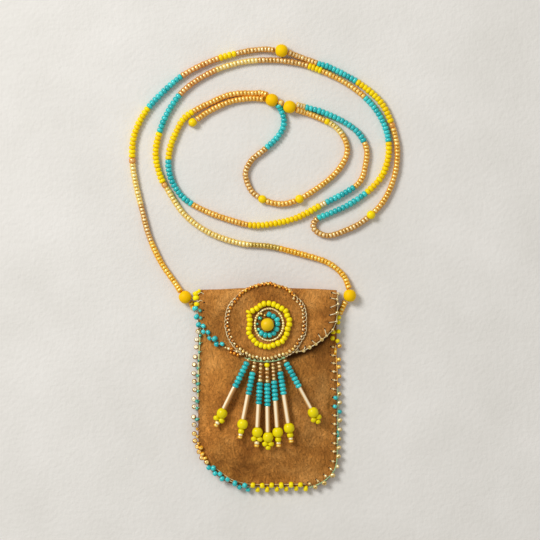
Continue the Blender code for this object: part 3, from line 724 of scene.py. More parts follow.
# Soft folds of the front: place, width, length, lean and height in millimetres
FRONT_FOLDS = (
    (24.5, -14, 2.4, 14, 0.1, -0.9), (28.5, -8, 1.8, 12, 0.05, 0.6), (19, -30, 3, 11, -0.3, -0.9),
    (25, -33, 2.4, 9, -0.2, 0.7), (9, -38, 3.5, 6, 0.9, -0.8), (-6, -37, 5, 4, 1.2, -0.9), (-20, -30, 4, 9, 0.6, -0.8),
    (-27, -10, 2.5, 14, 0.05, -0.6), (-25, 8, 3, 10, 0, 0.5), (14, -20, 6, 12, 0, 0.4), (-12, -24, 7, 9, 0, 0.5),
    (-16, -8, 3, 14, -0.5, -0.5), (15, -4, 5, 4, 0.3, -0.5), (2, -36, 9, 2.5, 0.1, -0.6),
)
# Handling stains, darker, and rubbed places, lighter, with painted light and shade: place, width,
# length, lean and strength. The broad darkening of the right half and below the flap's right edge
# is painted shade, and the broad lightening of the left half is painted light.
FRONT_STAINS_AND_LIGHT = (
    (-22, -31, 3.5, 4.5, 0.6, -0.2), (-15, -35.5, 5, 2.5, -0.3, -0.2), (-2.3, -38, 12, 3.5, 0.1, -0.16),
    (15.3, -4.5, 4, 3.5, 0.4, -0.25), (19, -18, 9, 22, 0.1, -0.15), (25, 8, 6, 14, 0, -0.12),
    (10, -39, 14, 4, 0.2, -0.08), (-25.8, 1.4, 4, 7, 0.1, 0.16), (-17.6, -15, 6, 6, -0.4, 0.16),
    (28.2, 1.4, 2, 8, 0, 0.15), (27, -24, 2.5, 7, 0, 0.18), (26, 3, 3, 6, -0.3, -0.16), (-27, -21, 5, 10, 0.2, 0.28),
    (-20, 6, 8, 14, 0, 0.2),
)


def folded(x, y, folds, seed):
    """How much soft folds and small dents lift the suede."""
    lift = sum(height * MM * hump(x, y, cx, cy, wide, tall, lean) for cx, cy, wide, tall, lean, height in folds)
    lift += 0.3 * MM * noise.noise(Vector((x, y, seed * 0.05)) * 110)
    return lift + 0.1 * MM * noise.noise(Vector((x, y, seed * 0.03)) * 420)


def stain_and_light_tone(x, y, tone_marks):
    """How light the suede is there, from marks and from painted light and shade; 0.5 where there are none."""
    tone = 0.5 + sum(light * hump(x, y, cx, cy, wide, tall, lean) for cx, cy, wide, tall, lean, light in tone_marks)
    return min(max(tone, 0), 1)


def front_surface(x, y):
    """The height of the front panel's outer face with its folds."""
    full = min(1.0, max(0.0, -outside(x, y) / (6 * MM)))
    return front_height(x, y) + folded(x, y, FRONT_FOLDS, 1) * full


def new_suede():
    """An empty mesh with suede's two attributes: how dark near a sewn edge, partly painted shade, and how light, partly
    painted light and shade.
    """
    bm = bmesh.new()
    return bm, bm.verts.layers.float.new("edge_dark_and_shade"), bm.verts.layers.float.new("stain_and_light")


def suede_sheet(name, columns, rows, shape):
    """Suede as a fine grid with a wall under its outer face. shape(u, v) gives a place, how dark
    it is at a sewn edge, partly painted shade, 0 to 1, and how light it is, partly painted light
    and shade, 0.5 where nothing marks it."""
    bm, edge_dark_and_shade, stain_and_light = new_suede()
    bmesh.ops.create_grid(bm, x_segments=columns, y_segments=rows, size=1)
    for vertex in bm.verts:
        vertex.co, vertex[edge_dark_and_shade], vertex[stain_and_light] = shape(vertex.co.x, (1 - vertex.co.y) / 2)
    for face in bm.faces:
        face.smooth = True
    made = solid(name, bm, FINISHES["suede"])
    wall = made.modifiers.new("wall", "SOLIDIFY")
    wall.thickness = SUEDE
    wall.offset = -1
    edge = made.modifiers.new("edge", "BEVEL")
    edge.width = 0.3 * MM
    edge.segments = 2
    edge.limit_method = "ANGLE"
    edge.angle_limit = math.radians(50)
    return made


def edge_share(distance, width):
    """1 at an edge, falling to 0 at a width from it."""
    return max(0.0, 1 - distance / width) ** 1.5


def pulled(along, pitch):
    """How hard stitches a pitch apart, in millimetres, pull the suede there, 0 to 1."""
    return 0.5 + 0.5 * math.cos(2 * math.pi * along / MM / pitch)


def build_front():
    """The front panel, domed, folded and pulled in by its stitches."""

    def shape(u, v):
        y = MOUTH_Y + (BOTTOM - MOUTH_Y) * math.sin(v * math.pi / 2)
        left, right = side_limits(y)
        x = (left + right) / 2 + (right - left) / 2 * math.sin(u * math.pi / 2)
        inside = -outside(x, y)
        z = front_surface(x, y)
        # stitches pull the edge in every 4.2 mm on the left side and every 2.3 mm elsewhere
        pitch = 4.2 if x < 0 and y > -26 * MM else 2.3
        pull = edge_share(inside, 3 * MM) * pulled(y + x * 0.5, pitch)
        z -= 0.25 * MM * pull
        centre = Vector((0, y))
        inwards = (centre - Vector((x, y))).normalized() if abs(x) > 1 * MM else Vector((0, 0))
        x += inwards.x * 0.3 * MM * pull
        # painted shadow of the flap's right edge, on the front just below it
        painted_flap_shadow = math.exp(-(((y - flap_edge(x)) / MM + 1.1) ** 2) / 3) if x > 9 * MM else 0
        edge_dark_and_shade = max(0.4 * edge_share(inside, 2.5 * MM), painted_flap_shadow)
        return Vector((x, y, z)), edge_dark_and_shade, stain_and_light_tone(x, y, FRONT_STAINS_AND_LIGHT)

    made = suede_sheet("front_suede", 120, 150, shape)
    settle(made, "pouch", "suede", "front_panel")


FLAP_FOLDS = (
    (-24, 34, 4, 9, 0.2, 0.5), (24, 36, 4, 8, -0.2, 0.45), (-14, 23, 5, 3, 0, 0.35), (-27, 42, 2, 4, 0.3, -0.35),
    (28, 40, 2, 5, -0.2, -0.35),
)
# The flap's lower right edge stands off the front
FLAP_LIFT = (24, 23, 10, 7, 0.6, 1.7)
# Darker and lighter places of the flap, given as for the front; the pale band along the fold's top is painted light
FLAP_STAINS_AND_LIGHT = (
    (-26, 33, 4, 8, 0.2, -0.12), (-24, 42, 6, 3, 0, 0.08), (25, 42, 6, 4, 0, 0.2), (24, 33, 5, 8, 0.3, 0.32),
    (-20, 24, 4, 3, 0, -0.1), (0, 46, 40, 2, 0, 0.1),
)
# Darker places of the patch, given as for the front; those inside the rosette's rings are painted shade
PATCH_STAINS_AND_SHADE = (
    (-14, 32, 4, 9, 0.1, -0.16), (14, 28, 3, 8, 0.1, -0.1), (1, 30, 6, 7, 0, -0.3), (-3.6, 31, 2.2, 4.5, 0, -0.25),
    (0, 20, 12, 4, 0, -0.05),
)


def flap_height(x):
    """The height of the flap's outer face without its folds: it drops towards its sides."""
    share = min(abs(x) / HALF_WIDTH, 1)
    return FLAP_TOP - FLAP_SIDE_DROP * share**4


def flap_edge(x):
    """How far down, as a y, the flap's rounded edge lies."""
    share = min(abs(x) / HALF_WIDTH, 1)
    return HINGE_Y - FLAP_STRAIGHT - FLAP_ROUND * math.sqrt(1 - share**2)


def flap_surface(x, y):
    """The height of the flap's outer face with its folds."""
    start, end = HINGE_Y + FOLD_LEAD, flap_edge(x)
    share = min(max((start - y) / (start - end), 0), 1)
    inside = max(min(y - end, HALF_WIDTH - abs(x)), 0)
    z = flap_height(x) + folded(x, y, FLAP_FOLDS, 4) * min(1.0, share * 5) * min(1.0, inside / (5 * MM) + 0.2)
    cx, cy, wide, tall, lean, height = FLAP_LIFT
    return z + height * MM * hump(x, y, cx, cy, wide, tall, lean)


def build_back_and_flap():
    """Back and flap as one piece of suede, folded over at the top."""
    rows, fold_from, fold_to = 230, 110, 150

    def shape(u, v):
        row = round(v * rows)
        x = HALF_WIDTH * math.sin(u * math.pi / 2)
        if row <= fold_from:
            y = BOTTOM + (HINGE_Y - BOTTOM) * (1 - math.cos(row / fold_from * math.pi / 2))
            left, right = side_limits(y)
            x = (left + right) / 2 + (right - left) / 2 * math.sin(u * math.pi / 2)
            return Vector((x, y, 0)), 0.3 * edge_share(-outside(x, y), 2.5 * MM), 0.5
        top = flap_height(x)
        start = HINGE_Y + FOLD_LEAD
        if row <= fold_to:
            turn = math.pi * (row - fold_from) / (fold_to - fold_from)
            reach = FOLD_REACH - FOLD_LEAD + 1.1 * MM * math.cos(x / HALF_WIDTH * math.pi / 2)
            y = start + reach * math.sin(turn)
            bulge = 0.25 * MM * noise.noise(Vector((x * 90, 3.3, turn))) * math.sin(turn)
            return Vector((x, y + bulge, top / 2 * (1 - math.cos(turn)))), 0.0, stain_and_light_tone(x, y, FLAP_STAINS_AND_LIGHT)
        share = (row - fold_to) / (rows - fold_to)
        end = flap_edge(x)
        y = start + (end - start) * share
        inside = min(y - end, HALF_WIDTH - abs(x))
        z = flap_surface(x, y)
        pull = edge_share(inside, 2.5 * MM) * pulled(x + y * 0.6, 2.6)
        z -= 0.3 * MM * pull
        # the flap darkens towards its edge, partly the sewn edge and partly painted shade, most on the right where it
        # stands off the front
        flap_edge_shade = 0.9 if x > 9 * MM else 0.45
        return Vector((x, y, z)), flap_edge_shade * edge_share(inside, 1.8 * MM), stain_and_light_tone(x, y, FLAP_STAINS_AND_LIGHT)

    made = suede_sheet("back_and_flap_suede", 100, rows, shape)
    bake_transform(made, "pouch", "flap", start=(0, 0, 1.4 * MM), end=(0, 0, 3.9 * MM))
    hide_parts("back_panel", "flap")


# The patch's outline as it was cut
PATCH_OUTLINE = (
    (-19.8, 30.9), (-19, 36.3), (-17.5, 39.6), (-15.4, 42), (-12.4, 45), (-9.4, 47), (-5.5, 48.5), (0.8, 49.6),
    (4.6, 48.5), (8.5, 47.4), (11.2, 45.6), (13.1, 43.2), (16.3, 40.2), (17.8, 36.3), (18.1, 31.5), (17.8, 26.1),
    (15.7, 21.9), (13.6, 18.6), (10.3, 15.9), (6.4, 14.4), (0, 12.9), (-5.5, 13.5), (-9.1, 14.7), (-12.4, 16.8),
    (-16, 20.1), (-18.4, 24), (-19.4, 27.6),
)
PATCH_CENTRE = Vector((-0.6 * MM, PATCH_Y, 0))
# Where the fringe hangs from the patch, its edge has no brown thread
FRINGE_LEFT, FRINGE_RIGHT, FRINGE_TOP = -11 * MM, 8 * MM, 15.5 * MM


def patch_line(step):
    """The patch's outline as a closed smooth line."""
    points = [spot(x, y) for x, y in PATCH_OUTLINE]
    ring = smooth([*points[-2:], *points, *points[:2]], step)
    reached = walk(ring)
    begin, *_, end = (i for i, point in enumerate(ring) if (point - points[0]).length < 1e-7)
    return ring[begin:end], reached[end] - reached[begin]


def turn_from_centre(point):
    """The angle at which a place lies from the patch's centre."""
    return math.atan2(point.y - PATCH_CENTRE.y, point.x - PATCH_CENTRE.x)


def patch_reach(angle, line):
    """How far the patch reaches from its centre at an angle."""
    best = min(line, key=lambda point: abs(math.remainder(turn_from_centre(point) - angle, 2 * math.pi)))
    return (best - PATCH_CENTRE).length


def build_patch():
    """The round patch: turned as a disc with soft edges, then pushed out to its cut outline."""
    line, _ = patch_line(0.5 * MM)
    bm, edge_dark_and_shade, stain_and_light = new_suede()
    section = [(r / 24, PATCH_TOP) for r in range(23)]
    section += [(0.965, PATCH_TOP), (0.985, PATCH_TOP - 0.12 * MM), (1.0, PATCH_TOP - 0.45 * MM)]
    section += [(1.0, PATCH_Z + 0.35 * MM), (0.985, PATCH_Z + 0.05 * MM), (0.96, PATCH_Z), (0.0, PATCH_Z)]
    turn_section(bm, section, False, 144, 1e-6)
    for vertex in bm.verts:
        share = min(1.0, math.hypot(vertex.co.x, vertex.co.y))
        angle = math.atan2(vertex.co.y, vertex.co.x)
        reach = patch_reach(angle, line) if share > 0.01 else 0.0
        stitch = 0.5 + 0.5 * math.cos(angle * PATCH_STITCHES)
        flat = Vector((math.cos(angle), math.sin(angle), 0)) * reach * share
        z = vertex.co.z
        if z > PATCH_Z + 0.2 * MM:
            place = PATCH_CENTRE + flat
            z += 0.12 * MM * noise.noise(Vector((place.x, place.y, 0.7)) * 150) * (1 - share**4)
            z -= 0.3 * MM * stitch * max(0.0, share - 0.88) / 0.12
        vertex.co = PATCH_CENTRE + flat * (1 - 0.006 * stitch * share) + Vector((0, 0, z))
        vertex[edge_dark_and_shade] = 0.75 * max(0.0, (share - 0.86) / 0.14)
        vertex[stain_and_light] = stain_and_light_tone(vertex.co.x, vertex.co.y, PATCH_STAINS_AND_SHADE)
    made = settle(solid("patch_suede", bm, FINISHES["suede"]), "flap", "suede", "medallion_patch")


def build_patch_stitches():
    """Whip stitches round the patch: a slanting stitch with a small bright bead every 2 mm and
    glass beads between them, orange at the top and sides and gold along the bottom."""
    line, length = patch_line(0.4 * MM)
    closed = [*line, line[0]]
    reached = walk(closed)
    beads = Beads("patch_stitch_beads")
    ticks, edge = [], [[]]

    def place(distance):
        point, way = at(closed, reached, distance % length)
        inward = Vector((way.y, -way.x, 0))
        return point, way, inward if inward.dot(PATCH_CENTRE - point) > 0 else -inward

    def raised(height):
        return Vector((0, 0, height))

    for i in range(PATCH_STITCHES):
        point, way, inward = place(length * (i + 0.5) / PATCH_STITCHES)
        turn = math.degrees(turn_from_centre(point))
        # degrees round the patch, where its upper edge and its edge over the fringe lie
        top, low = 48 < turn < 140, -135 < turn < -40
        inner = point + inward * CHANCE.uniform(1.4, 1.9) * MM + way * 0.9 * MM + raised(PATCH_TOP)
        if not top:
            outer = point + raised(PATCH_TOP - 0.2 * MM)
            ticks.append(smooth([outer, (outer + inner) / 2 + raised(0.45 * MM), inner], 0.4 * MM))
            size, long = (0.62 * MM, 2.6) if low else (0.55 * MM, 1.8)
            centre = inner + raised(size * 0.6) - inward * 0.3 * MM
            beads.add(centre, inward + way * 0.4, "clear_gold", size, size * long, *SMALL, 0.3, 2)
        point, way, inward = place(length * (i + 1) / PATCH_STITCHES)
        size = 0.66 * MM if top or low else 0.62 * MM
        centre = point + inward * (0.7 if top else 1.15) * MM + raised(PATCH_TOP + size * 0.4)
        finish = "gold" if low else "amber" if top and i % 3 == 0 else "orange"
        beads.add(centre, way + inward * 0.5, finish, size, size * 2.0, *SMALL, 0.3, 2)
        if top:
            centre = point + inward * 0.2 * MM + way * 1.0 * MM + raised(PATCH_TOP + 0.2 * MM)
            finish = "gold" if i % 3 else "orange"
            beads.add(centre, way - inward * 0.6, finish, 0.5 * MM, 1.2 * MM, *SMALL, 0.3)
    # the brown edge thread, a point every 0.8 mm, waving under one stitch and over the next
    for i in range(int(length / (0.8 * MM)) + 1):
        point, way, inward = place(i * 0.8 * MM)
        if point.y < FRINGE_TOP and FRINGE_LEFT < point.x < FRINGE_RIGHT:
            if edge[-1]:
                edge.append([])
            continue
        wave = 0.15 * MM * math.sin(i * 0.8 * 2 * math.pi / 1.95)
        edge[-1].append(point - inward * (0.05 * MM + wave) + raised(PATCH_TOP - 0.25 * MM + wave))
    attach(beads.done(), "flap")
    thread("patch_stitches", "flap", ticks, FINE_THREAD, "cream_thread")
    thread("patch_edge_thread", "flap", [run for run in edge if len(run) > 1], 0.26 * MM, "rim_thread")


# The green thread along the patch's edge over the fringe, and its knots
GREEN_LINE = (
    (-10.6, 15.1), (-7.9, 14.1), (-5.6, 13.6), (-2.6, 13.3), (0.6, 13.3), (3.2, 13.6), (5.6, 14.2), (7.9, 15.1),
)
GREEN_KNOTS = ((-8.5, 14.5), (-5.9, 13.8), (-2.9, 13.5), (0, 13.4), (2.6, 13.6), (5.2, 14.2), (7.6, 15))


def build_green_thread():
    """A fine green thread along the patch's edge, with a knot over each strand of the fringe."""
    knots = Beads("patch_green_knots")
    for x, y in GREEN_KNOTS:
        centre = spot(x, y - 0.5, PATCH_TOP + 0.3 * MM)
        knots.add(centre, (0, 1, 0), "green_thread", 0.62 * MM, 1.1 * MM, 0, 10, 6, 0.3)
    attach(knots.done(), "flap")
    line = smooth([spot(x, y - 0.6, PATCH_TOP + 0.2 * MM) for x, y in GREEN_LINE], 0.8 * MM)
    thread("patch_green_thread", "flap", [line], FINE_THREAD, "green_thread")


# Rosette, places of its beads in millimetres

YELLOW_RING = (
    (-8.8, 35.8), (-8.5, 34), (-8.2, 32.2), (-8.2, 30.1), (-8.6, 28.1), (-8.6, 26.1), (-7.6, 24.3), (-6.3, 22.7),
    (-4.9, 21.2), (-3, 20.4), (-1.1, 19.8), (0.8, 19.7), (2.7, 20.4), (4.9, 21.3), (6.9, 22.2), (8, 23.8), (9, 25.7),
    (9.4, 28), (10.2, 30.1), (10.2, 32.3), (9.2, 34.3), (8.5, 36.3), (6.7, 37.5), (4.8, 38.5), (2.9, 39.4), (0.7, 39.9),
    (-1.6, 39.7), (-3.4, 38.8), (-5, 37.5), (-6.9, 36.5),
)
TURQUOISE_RING = (
    (0.8, 34.7), (2.8, 33.8), (4.5, 32.3), (4.7, 30.3), (4.2, 27.9), (3, 26), (1.1, 25.1), (-1, 25.1), (-2.8, 26.1),
)
# Where the middle of the oval thread ring lies, and how high the beads do
RING_X = 0.8 * MM
ROSETTE_Z = PATCH_TOP + 1.3 * MM
# Small beads beside the rings: place and radius
TEAL_BEADS = ((-4, 27.7, 0.95), (-3.4, 32.9, 1), (-4.6, 30.3, 0.6))
MOSS_BEADS = ((-2.8, 35, 0.7), (-1.2, 34.3, 0.62), (-4.4, 34.2, 0.6))


def ring_beads(beads, places, finish, radius, squeeze, closed=True):
    """Beads side by side round a ring, each as long as the room it has there."""
    points = [spot(x, y, ROSETTE_Z) for x, y in places]
    for i, point in enumerate(points):
        before = points[i - 1] if i or closed else point
        after = points[(i + 1) % len(points)] if i < len(points) - 1 or closed else point
        room = (after - before).length / (2 if before != point and after != point else 1)
        beads.add(point, after - before, finish, radius, room * squeeze, 0.3, 20, 10, 0.05, 2.3)


def build_rosette():
    """Two rings of beads round a large one, with gold beads on a thread between the rings."""
    beads = Beads("rosette_yellow_beads")
    ring_beads(beads, YELLOW_RING, "lemon", 1.4 * MM, 1.0)
    settle(beads.done(), "flap", "yellow_glass", "rosette_yellow_ring")
    beads = Beads("rosette_turquoise_beads")
    ring_beads(beads, TURQUOISE_RING, "turquoise", 1.3 * MM, 1.02, closed=False)
    for places, axis, finish, lift, long in (
        (TEAL_BEADS, (0.3, 1, 0), "teal", 0.7, 1.7), (MOSS_BEADS, (1, 0.5, 0), "olive_gold", 0.6, 1.8),
    ):
        for x, y, radius in places:
            beads.add(spot(x, y, PATCH_TOP + lift * MM), axis, finish, radius * MM, radius * long * MM)
    settle(beads.done(), "flap", "turquoise_glass", "rosette_turquoise_ring")
    beads = Beads("rosette_gold_beads")
    ring = []
    for i in range(73):
        turn = 2 * math.pi * i / 72
        x, y = RING_X + 6.6 * MM * math.cos(turn), 30 * MM + 7.45 * MM * math.sin(turn)
        ring.append(Vector((x, y, PATCH_TOP + 0.7 * MM)))
    reached = walk(ring)
    for i in range(36):
        point, way = at(ring, reached, reached[-1] * (i + 0.5) / 36)
        radius = (0.66 if abs(point.x - RING_X) > 4.6 * MM else 0.5) * MM
        beads.add(point, way, "pale_gold" if i % 3 else "clear_gold", radius, 1.25 * MM, *SMALL, 0.08, 2)
    settle(beads.done(), "flap", "gold_glass", "rosette_gold_ring")
    thread("rosette_thread", "flap", [ring], 0.44 * MM, "rim_thread")
    beads = Beads("rosette_centre")
    centre = spot(0, 30, PATCH_TOP + 2.9 * MM)
    beads.add(centre, (1, 0.2, 0), "rosette_yellow", LARGE_BEAD, 5.9 * MM, 0.12, 36, 20, 0, 2.1)
    settle(beads.done(), "flap", "yellow_glass", "rosette_centre_bead")


# Fringe: x at the patch, x and y at the drop bead, how many gold beads and their run, how many
# turquoise beads and their run, ending
FRINGE = (
    (-8.6, -21.2, -11.5, 1, 1.7, 7, 13.4, "cluster"), (-5.8, -11.6, -16.5, 3, 5.2, 6, 11, "line"),
    (-3, -4.7, -20.3, 5, 9.3, 6, 10.4, "cluster"), (-0.2, 0.3, -22.6, 5, 9.4, 6, 11, "cluster"),
    (2.5, 4.8, -20.3, 5, 8.4, 5, 9.6, "line"), (5.2, 10.1, -18.3, 3, 4.8, 6, 11.1, "line"),
    (7.8, 21.3, -11.1, 1, 1.7, 7, 13.4, "cluster"),
)


# The beads under a drop, in millimetres: how far across and along, how far the hole leans across,
# finish, radius, length and hole
ENDINGS = {
    "cluster": (
        (-1.4, 0, 0.5, "drop_yellow", 1.4, 2.3, 0.3), (1.3, 0, -0.5, "drop_yellow", 1.4, 2.3, 0.3),
        (0, 1.9, 0, "clear_gold", 1.25, 1.9, 0.3),
    ),
    "line": ((0, 0.3, 0, "drop_yellow", 1.5, 2.3, 0.3), (0, 2.0, 0, "clear_gold", 1.15, 1.5, 0.35)),
}
LAST_BEAD = (0, 3.2, 0, "amber", 1.2, 1.4, 0.4)


def build_fringe():
    """Seven strands: gold beads, turquoise beads, a bugle, a drop and the beads under it."""
    for number, (x_top, x_drop, y_drop, gold, gold_run, turquoise, turquoise_run, ending) in enumerate(FRINGE, 1):
        below = math.sqrt(PATCH_RADIUS**2 - (x_top * MM) ** 2)
        top = Vector((x_top * MM, PATCH_Y + 0.6 * MM - below, PATCH_Z + 0.65 * MM))
        drop = spot(x_drop, y_drop, front_height(x_drop * MM, y_drop * MM) + GAP + DROP_RADIUS)
        way = (drop - top).normalized()
        across = Vector((-way.y, way.x, 0)).normalized()
        bugle = (drop - top).length - DROP_RADIUS - (gold_run + turquoise_run) * MM
        begun = 0.0
        for kind, slot, count, length in (
            ("gold", "gold_glass", gold, gold_run * MM / gold),
            ("turquoise", "turquoise_glass", turquoise, turquoise_run * MM / turquoise),
            ("bugle", "champagne_glass", 1, bugle),
        ):
            beads = Beads(f"fringe_{number}_{kind}_beads")
            for i in range(count):
                centre = top + way * (begun + length * (i + 0.5))
                if kind == "bugle":
                    radius = (1.0 if number == 7 else 1.22) * MM
                    beads.add(centre, way, "champagne", radius, length + 0.3 * MM, *BUGLE)
                elif kind == "turquoise":
                    beads.add(centre, way, "turquoise", 1.5 * MM, length, 0.3, 18, 8, square=2.1)
                elif number == 4 and i == 0:  # the middle strand begins with a larger yellow bead
                    beads.add(centre, way, "lemon", 1.3 * MM, 2.2 * MM, 0.2, 18, 8, square=2)
                else:
                    finish = "clear_gold" if i % 3 == 1 else "fringe_gold"
                    beads.add(centre, way, finish, 0.95 * MM, length * 0.9, *MIDDLE, 0.15, 2)
            settle(beads.done(), "flap", slot, f"fringe_{number}_{kind}")
            begun += count * length
        beads = Beads(f"fringe_{number}_drop_beads")
        beads.add(drop, way, "drop_yellow", DROP_RADIUS, 4.75 * MM, *DROP)
        tips = drop + way * (DROP_RADIUS + 0.6 * MM) - Vector((0, 0, 0.5 * MM))
        # the middle strand and the last one end in yellow beads, without an amber one
        bare = number in (4, 7)
        for aside, along, lean, finish, radius, length, hole in ENDINGS[ending] + (() if bare else (LAST_BEAD,)):
            if bare:
                finish = "drop_yellow"
            centre = tips + across * aside * MM + way * along * MM
            beads.add(centre, way + across * lean, finish, radius * MM, length * MM, hole, 16, 8)
        settle(beads.done(), "flap", "yellow_glass", f"fringe_{number}_drop")


# Edging, sewn on bead by bead. Places in millimetres.

FLAP_LEFT_YELLOW = ((-33.4, 44.4), (-33.4, 42.3), (-33, 39.4), (-31.9, 45.5))
FLAP_LEFT_TURQUOISE = (
    (-33.8, 37.4), (-33.1, 33.5), (-32.1, 29.7), (-29.9, 29.2), (-29.9, 26.5), (-27.7, 26.3), (-27, 23.5),
    (-24.6, 23.3), (-23.7, 20.8), (-21.1, 20.9),
)
FLAP_LEFT_SMALL = ((-31.5, 36.4), (-31.2, 33))
FLAP_LEFT_PALE = ((-19.6, 19.2), (-18, 18.7), (-14.3, 17.4), (-12.7, 16.1))
FLAP_LEFT_ORANGE = ((-16.7, 18.5), (-15.4, 16.5), (-17, 16.9), (-13.6, 15.7))
FLAP_RIGHT_OUTER = (
    (33.1, 44.2), (32.6, 41.6), (33.1, 39.5), (32.6, 35.2), (32.3, 31.3), (30.5, 27.4), (27.6, 24.6), (25.4, 22.9),
    (22.6, 20.8), (19.7, 19.3), (16.9, 17.7), (13.5, 17.3),
)
FLAP_RIGHT_HOLES = (
    (30.2, 44.8), (29.6, 42.3), (29.4, 37.8), (29.1, 34.3), (28.8, 30.8), (26.7, 27.9), (23.7, 25.4), (20.8, 22.5),
    (17.6, 19.7), (14.6, 18.3),
)
FLAP_LEFT_HOLES = ((-29.8, 36.6), (-29.7, 33.2), (-29.6, 40.2))
POUCH_LEFT_CLEAR = (
    (-32.5, 26.6), (-33.1, 22.7), (-33.4, 19.2), (-33.9, 14.6), (-34.3, 11), (-34.5, 6.9), (-34.3, 3.1), (-34.1, -0.8),
    (-34.5, -5.2), (-34.3, -8.8), (-34.6, -13.6), (-34.4, -17.2),
)
POUCH_LEFT_AMBER = ((-34.3, -21.4), (-34, -24.8), (-32.9, -27.5), (-32.1, -29.9), (-30.8, -32.7), (-28.5, -34.7))
POUCH_LEFT_TEAL = (
    (-31.5, 24.6), (-31.7, 20.9), (-32, 16.8), (-32.3, 12.9), (-32.7, 9.3), (-32.7, 5.8), (-32.6, 2), (-32.6, -1.5),
    (-32.9, -6.2), (-33, -9.5), (-33, -14.7),
)
POUCH_LEFT_GOLD = ((-33, -19.2), (-33, -22.8), (-32.4, -26), (-31.2, -27.9), (-30.5, -30.9), (-29.2, -32.9))
CORNER_TURQUOISE = (
    (-27.5, -37.3), (-25.3, -37.5), (-24.5, -40), (-22.2, -40.2), (-21.2, -42.5), (-18.7, -42.8), (-15.2, -44.6),
    (-13.1, -46.5), (-10.6, -45.6), (-9.1, -47.7),
)
BOTTOM_YELLOW = (
    (-6.8, -45.5), (-4.6, -47.7), (-2.4, -45.7), (-0.1, -47.6), (2, -45.5), (4.4, -47.5), (6.5, -45.6), (8.8, -47.4),
    (11.1, -45.3), (13.5, -47.2), (15.5, -45.3), (18, -47.2),
)
RIGHT_YELLOW = ((33.2, 33), (33.2, 30.8), (33.3, 26.5), (30.8, 26.3), (30.5, 23.4), (32.9, 22.1))
RIGHT_AMBER = ((33.8, 19.7), (33.5, 13.3), (33.5, 9.9), (33.8, 5.5), (33.4, 1.7))
RIGHT_AMBER_INNER = ((30.8, 19.3), (30.8, 15.4), (31.1, 11.7), (31.1, 7.8), (31.4, 3.8), (31, -0.4))
RIGHT_CLEAR = (
    (33.7, -2.8), (33.8, -6.9), (33.9, -15.2), (33.8, -19.6), (33.7, -23.8), (33.5, -28), (33.3, -32.1), (32.9, -36.8),
    (30.6, -41), (26.7, -44.6), (22.5, -46.5),
)
RIGHT_CLEAR_INNER = (
    (31.6, -12.8), (31.5, -16.8), (31.5, -21.4), (31.5, -25.9), (31.2, -29.7), (30.8, -34.3), (29.8, -38),
    (27.3, -41.2), (23.7, -43.5), (19.8, -44.9),
)
RIGHT_TURQUOISE = ((33.9, -11.1), (31.9, -4.5), (31.6, -8.6))
RIGHT_AMBER_LINE = ((32, 20.2), (32.2, 15.5), (32.5, 10.8), (32.8, 6.1), (32.9, 0.5))
RIGHT_GREEN_LINE = (
    (33, 0), (33.1, -10.3), (33, -19.7), (32.8, -29.1), (32.5, -34.7), (31.4, -38.5), (29.1, -41.5), (26.3, -43.8),
    (23, -45.5), (19.8, -46.6),
)
LOWER_SEAM_LINE = ((-26, -36.2), (-21.4, -39.8), (-16, -43.2), (-9, -45), (-0.5, -45.2), (9, -45.2), (18, -45))
LEFT_LIME_LINE = ((-31.3, 30), (-31.7, 22.5), (-32.2, 13.1), (-32.4, 3.8), (-32.5, -4))

OUT_Z = 2.3 * MM


def on_pouch(x, y, radius):
    """A place at the pouch's seam, in millimetres, for a bead: on the seam or beside it."""
    x, y = x * MM, y * MM
    share = min(max((outside(x, y) + 0.6 * MM) / (1.8 * MM), 0), 1)
    top = front_surface(x, y) if outside(x, y) < 0 else SEAM_TOP
    return Vector((x, y, (1 - share) * (top + radius * 0.85) + share * OUT_Z))


def on_flap(x, y, radius):
    """A place at the flap's edge, in millimetres, for a bead: on the suede or beside its edge."""
    x, y = x * MM, y * MM
    inside = min(y - flap_edge(x), HALF_WIDTH - abs(x))
    share = min(max((inside + 0.6 * MM) / (1.6 * MM), 0), 1)
    return Vector((x, y, flap_surface(x, y) - 0.5 * MM + share * (0.5 * MM + radius * 0.8)))


def sew(beads, put, places, finish, radius, length, tilt=(0, 0, 0), loose=0.07, around=16, down=8, square=2.5):
    """Sew a row of beads on, each with its hole along the row. radius and length in millimetres."""
    points = [put(x, y, radius * MM) for x, y in places]
    for i, point in enumerate(points):
        row = points[min(i + 2, len(points) - 1)] - points[max(i - 2, 0)]
        row.z = 0
        way = row.normalized() + Vector(tilt)
        beads.add(point, way, finish, radius * MM, length * MM, 0.3, around, down, loose, square)
    return points


def needle_hole_shades(name, places, height, body):
    """Needle holes in the suede, each a dark spot: painted shade of the hole."""
    holes = Beads(name)
    for x, y in places:
        hole = spot(x, y, height(x * MM, y * MM))
        holes.add(hole, (0, 0, 1), "needle_hole_shade", 0.42 * MM, 0.5 * MM, 0, 8, 4)
    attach(holes.done(), body)


def sew_piece(name, body, slot, node, *rows, bar=None):
    """A piece of edging sewn from rows of beads, and a bar bead. It gives the rows' places."""
    beads = Beads(name)
    sewn = [sew(beads, on_flap if body == "flap" else on_pouch, *row) for row in rows]
    if bar:
        place, axis, finish, radius, length = bar
        beads.add(on_pouch(*place, 0.6 * MM), axis, finish, radius * MM, length * MM, *BAR)
    settle(beads.done(), body, slot, node)
    return sewn


def seam_thread(name, places, lift, radius, finish):
    """A thread along the pouch's seam. Sizes are in millimetres."""
    line = smooth([on_pouch(x, y, lift * MM) for x, y in places], 1 * MM)
    thread(name, "pouch", [line], radius * MM, finish)


def over_edge(point, hole):
    """A stitch from a bead's middle over the suede's edge and down to its needle hole."""
    top = point.lerp(hole, 0.45)
    top.z = max(point.z, hole.z) + 0.3 * MM
    return smooth([point, top, hole], 0.4 * MM)


